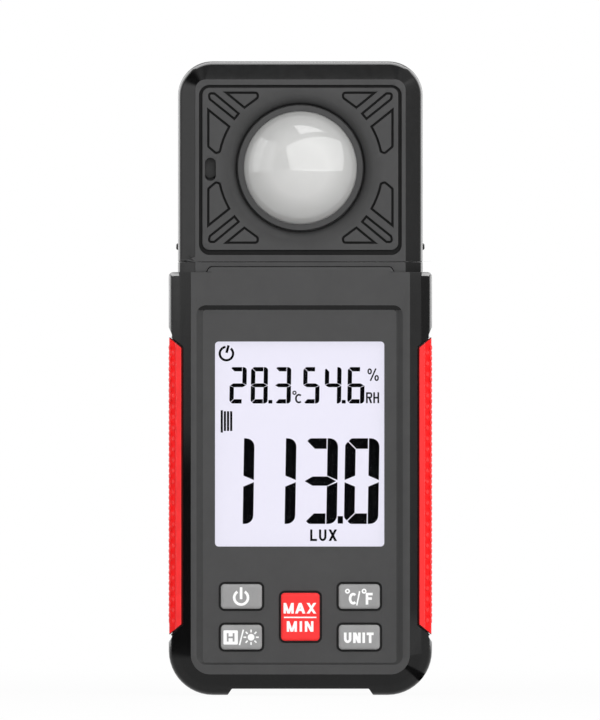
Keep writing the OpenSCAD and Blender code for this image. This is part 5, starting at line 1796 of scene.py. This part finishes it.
class METER_OT_stage(bpy.types.Operator):
    """Sets up the floor, the soft lights, the white surroundings and the camera"""

    bl_idname = "meter.stage"
    bl_label = "Stage"

    def execute(self, context):
        reach, thick = 4000.0, 4.0
        ground = prism("floor", rectangle(-reach, reach, -thick, 0), -reach, reach)
        floor = place("floor", ground, seen_white("floor_white", 0.95))
        context.scene.world = surroundings()
        # (name, azimuths, elevations, level, distance, lit, reflected)
        lamps = (
            ("key", (-18, 75), (-8, 50), 1.95, 1.5, True, True),
            ("left fill", (-78, -34), (-10, 45), 1.1, 1.5, True, False),
            ("left strip outer", (-102, -83), (-3, 40), 0.6, 0.5, False, True),
            ("left strip middle", (-83, -68), (-3, 40), 1.55, 0.5, False, True),
            ("left strip inner", (-68, -46), (-3, 40), 0.9, 0.5, False, True),
            ("back top", (150, 210), (50, 86), 7.8, 1.5, False, True),
            ("back left", (212, 250), (-15, 45), 4.5, 1.5, False, True),
            ("back right", (110, 148), (-15, 45), 4.5, 1.5, False, True),
        )
        for lamp in lamps:
            softbox(*lamp)
        glow_card("top patch", ((-0.15, -0.3), (0.0, -0.67), (0.69, -0.33)), 3.6)
        flag("left flag", (-85, -27, 38), (1, 0, 0), 66, 76, 12, 80)
        flag("corner flag", (-69.7, -25, 210), (0.71, 0.2, -0.67), 60, 48, 13, 78)
        flag("right flag", (86, -21, 71), (-1, 0, 0), 60, 102, 3, 80, 0.5)
        flag("top flag", (0, -27, 226), (0, 0, -1), 96, 42, 8, 56, 0.45)
        flag("right floor flag", (39.5, -20, 1), (0, 0, 1), 7, 60, 0.5, 60)
        camera = bpy.data.objects.new("camera", bpy.data.cameras.new("camera"))
        context.scene.collection.objects.link(camera)
        camera.data.sensor_width, camera.data.lens, camera.data.clip_end = 36.0, 892.7, 20
        camera.location = (-0.0001, CASE_FACE * MM - 5.0, 0.09394)
        camera.rotation_euler = (math.pi / 2, 0, 0)
        context.scene.camera = camera
        context.scene.view_settings.view_transform = "Standard"
        return {"FINISHED"}


class METER_PT_panel(bpy.types.Panel):
    """Shows the settings and lists the operators"""

    bl_idname = "METER_PT_panel"
    bl_label = "Light meter"
    bl_space_type = "VIEW_3D"
    bl_region_type = "UI"
    bl_category = "Light meter"

    def draw(self, context):
        for group in ("meter_sizes", "meter_grip", "meter_finishes"):
            settings = getattr(context.scene, group)
            box = self.layout.box()
            for name in settings.bl_rna.properties.keys():
                if name not in ("rna_type", "name"):
                    box.prop(settings, name)
        for operator in OPERATORS:
            self.layout.operator(operator.bl_idname)


GROUPS = {"meter_finishes": MeterFinishes, "meter_sizes": MeterSizes, "meter_grip": MeterGrip}
OPERATORS = (
    METER_OT_stage,
    METER_OT_head,
    METER_OT_dome,
    METER_OT_case,
    METER_OT_grips,
    METER_OT_display,
    METER_OT_keys,
    METER_OT_back,
    METER_OT_screws,
    METER_OT_inner,
)


def register():
    for cls in (*GROUPS.values(), *OPERATORS, METER_PT_panel):
        bpy.utils.register_class(cls)
    for name, group in GROUPS.items():
        setattr(bpy.types.Scene, name, bpy.props.PointerProperty(type=group))


def unregister():
    for name in GROUPS:
        delattr(bpy.types.Scene, name)
    for cls in reversed((*GROUPS.values(), *OPERATORS, METER_PT_panel)):
        bpy.utils.unregister_class(cls)


def main():
    register()
    for operator in OPERATORS:
        group, name = operator.bl_idname.split(".")
        getattr(getattr(bpy.ops, group), name)()


if __name__ == "__main__":
    main()
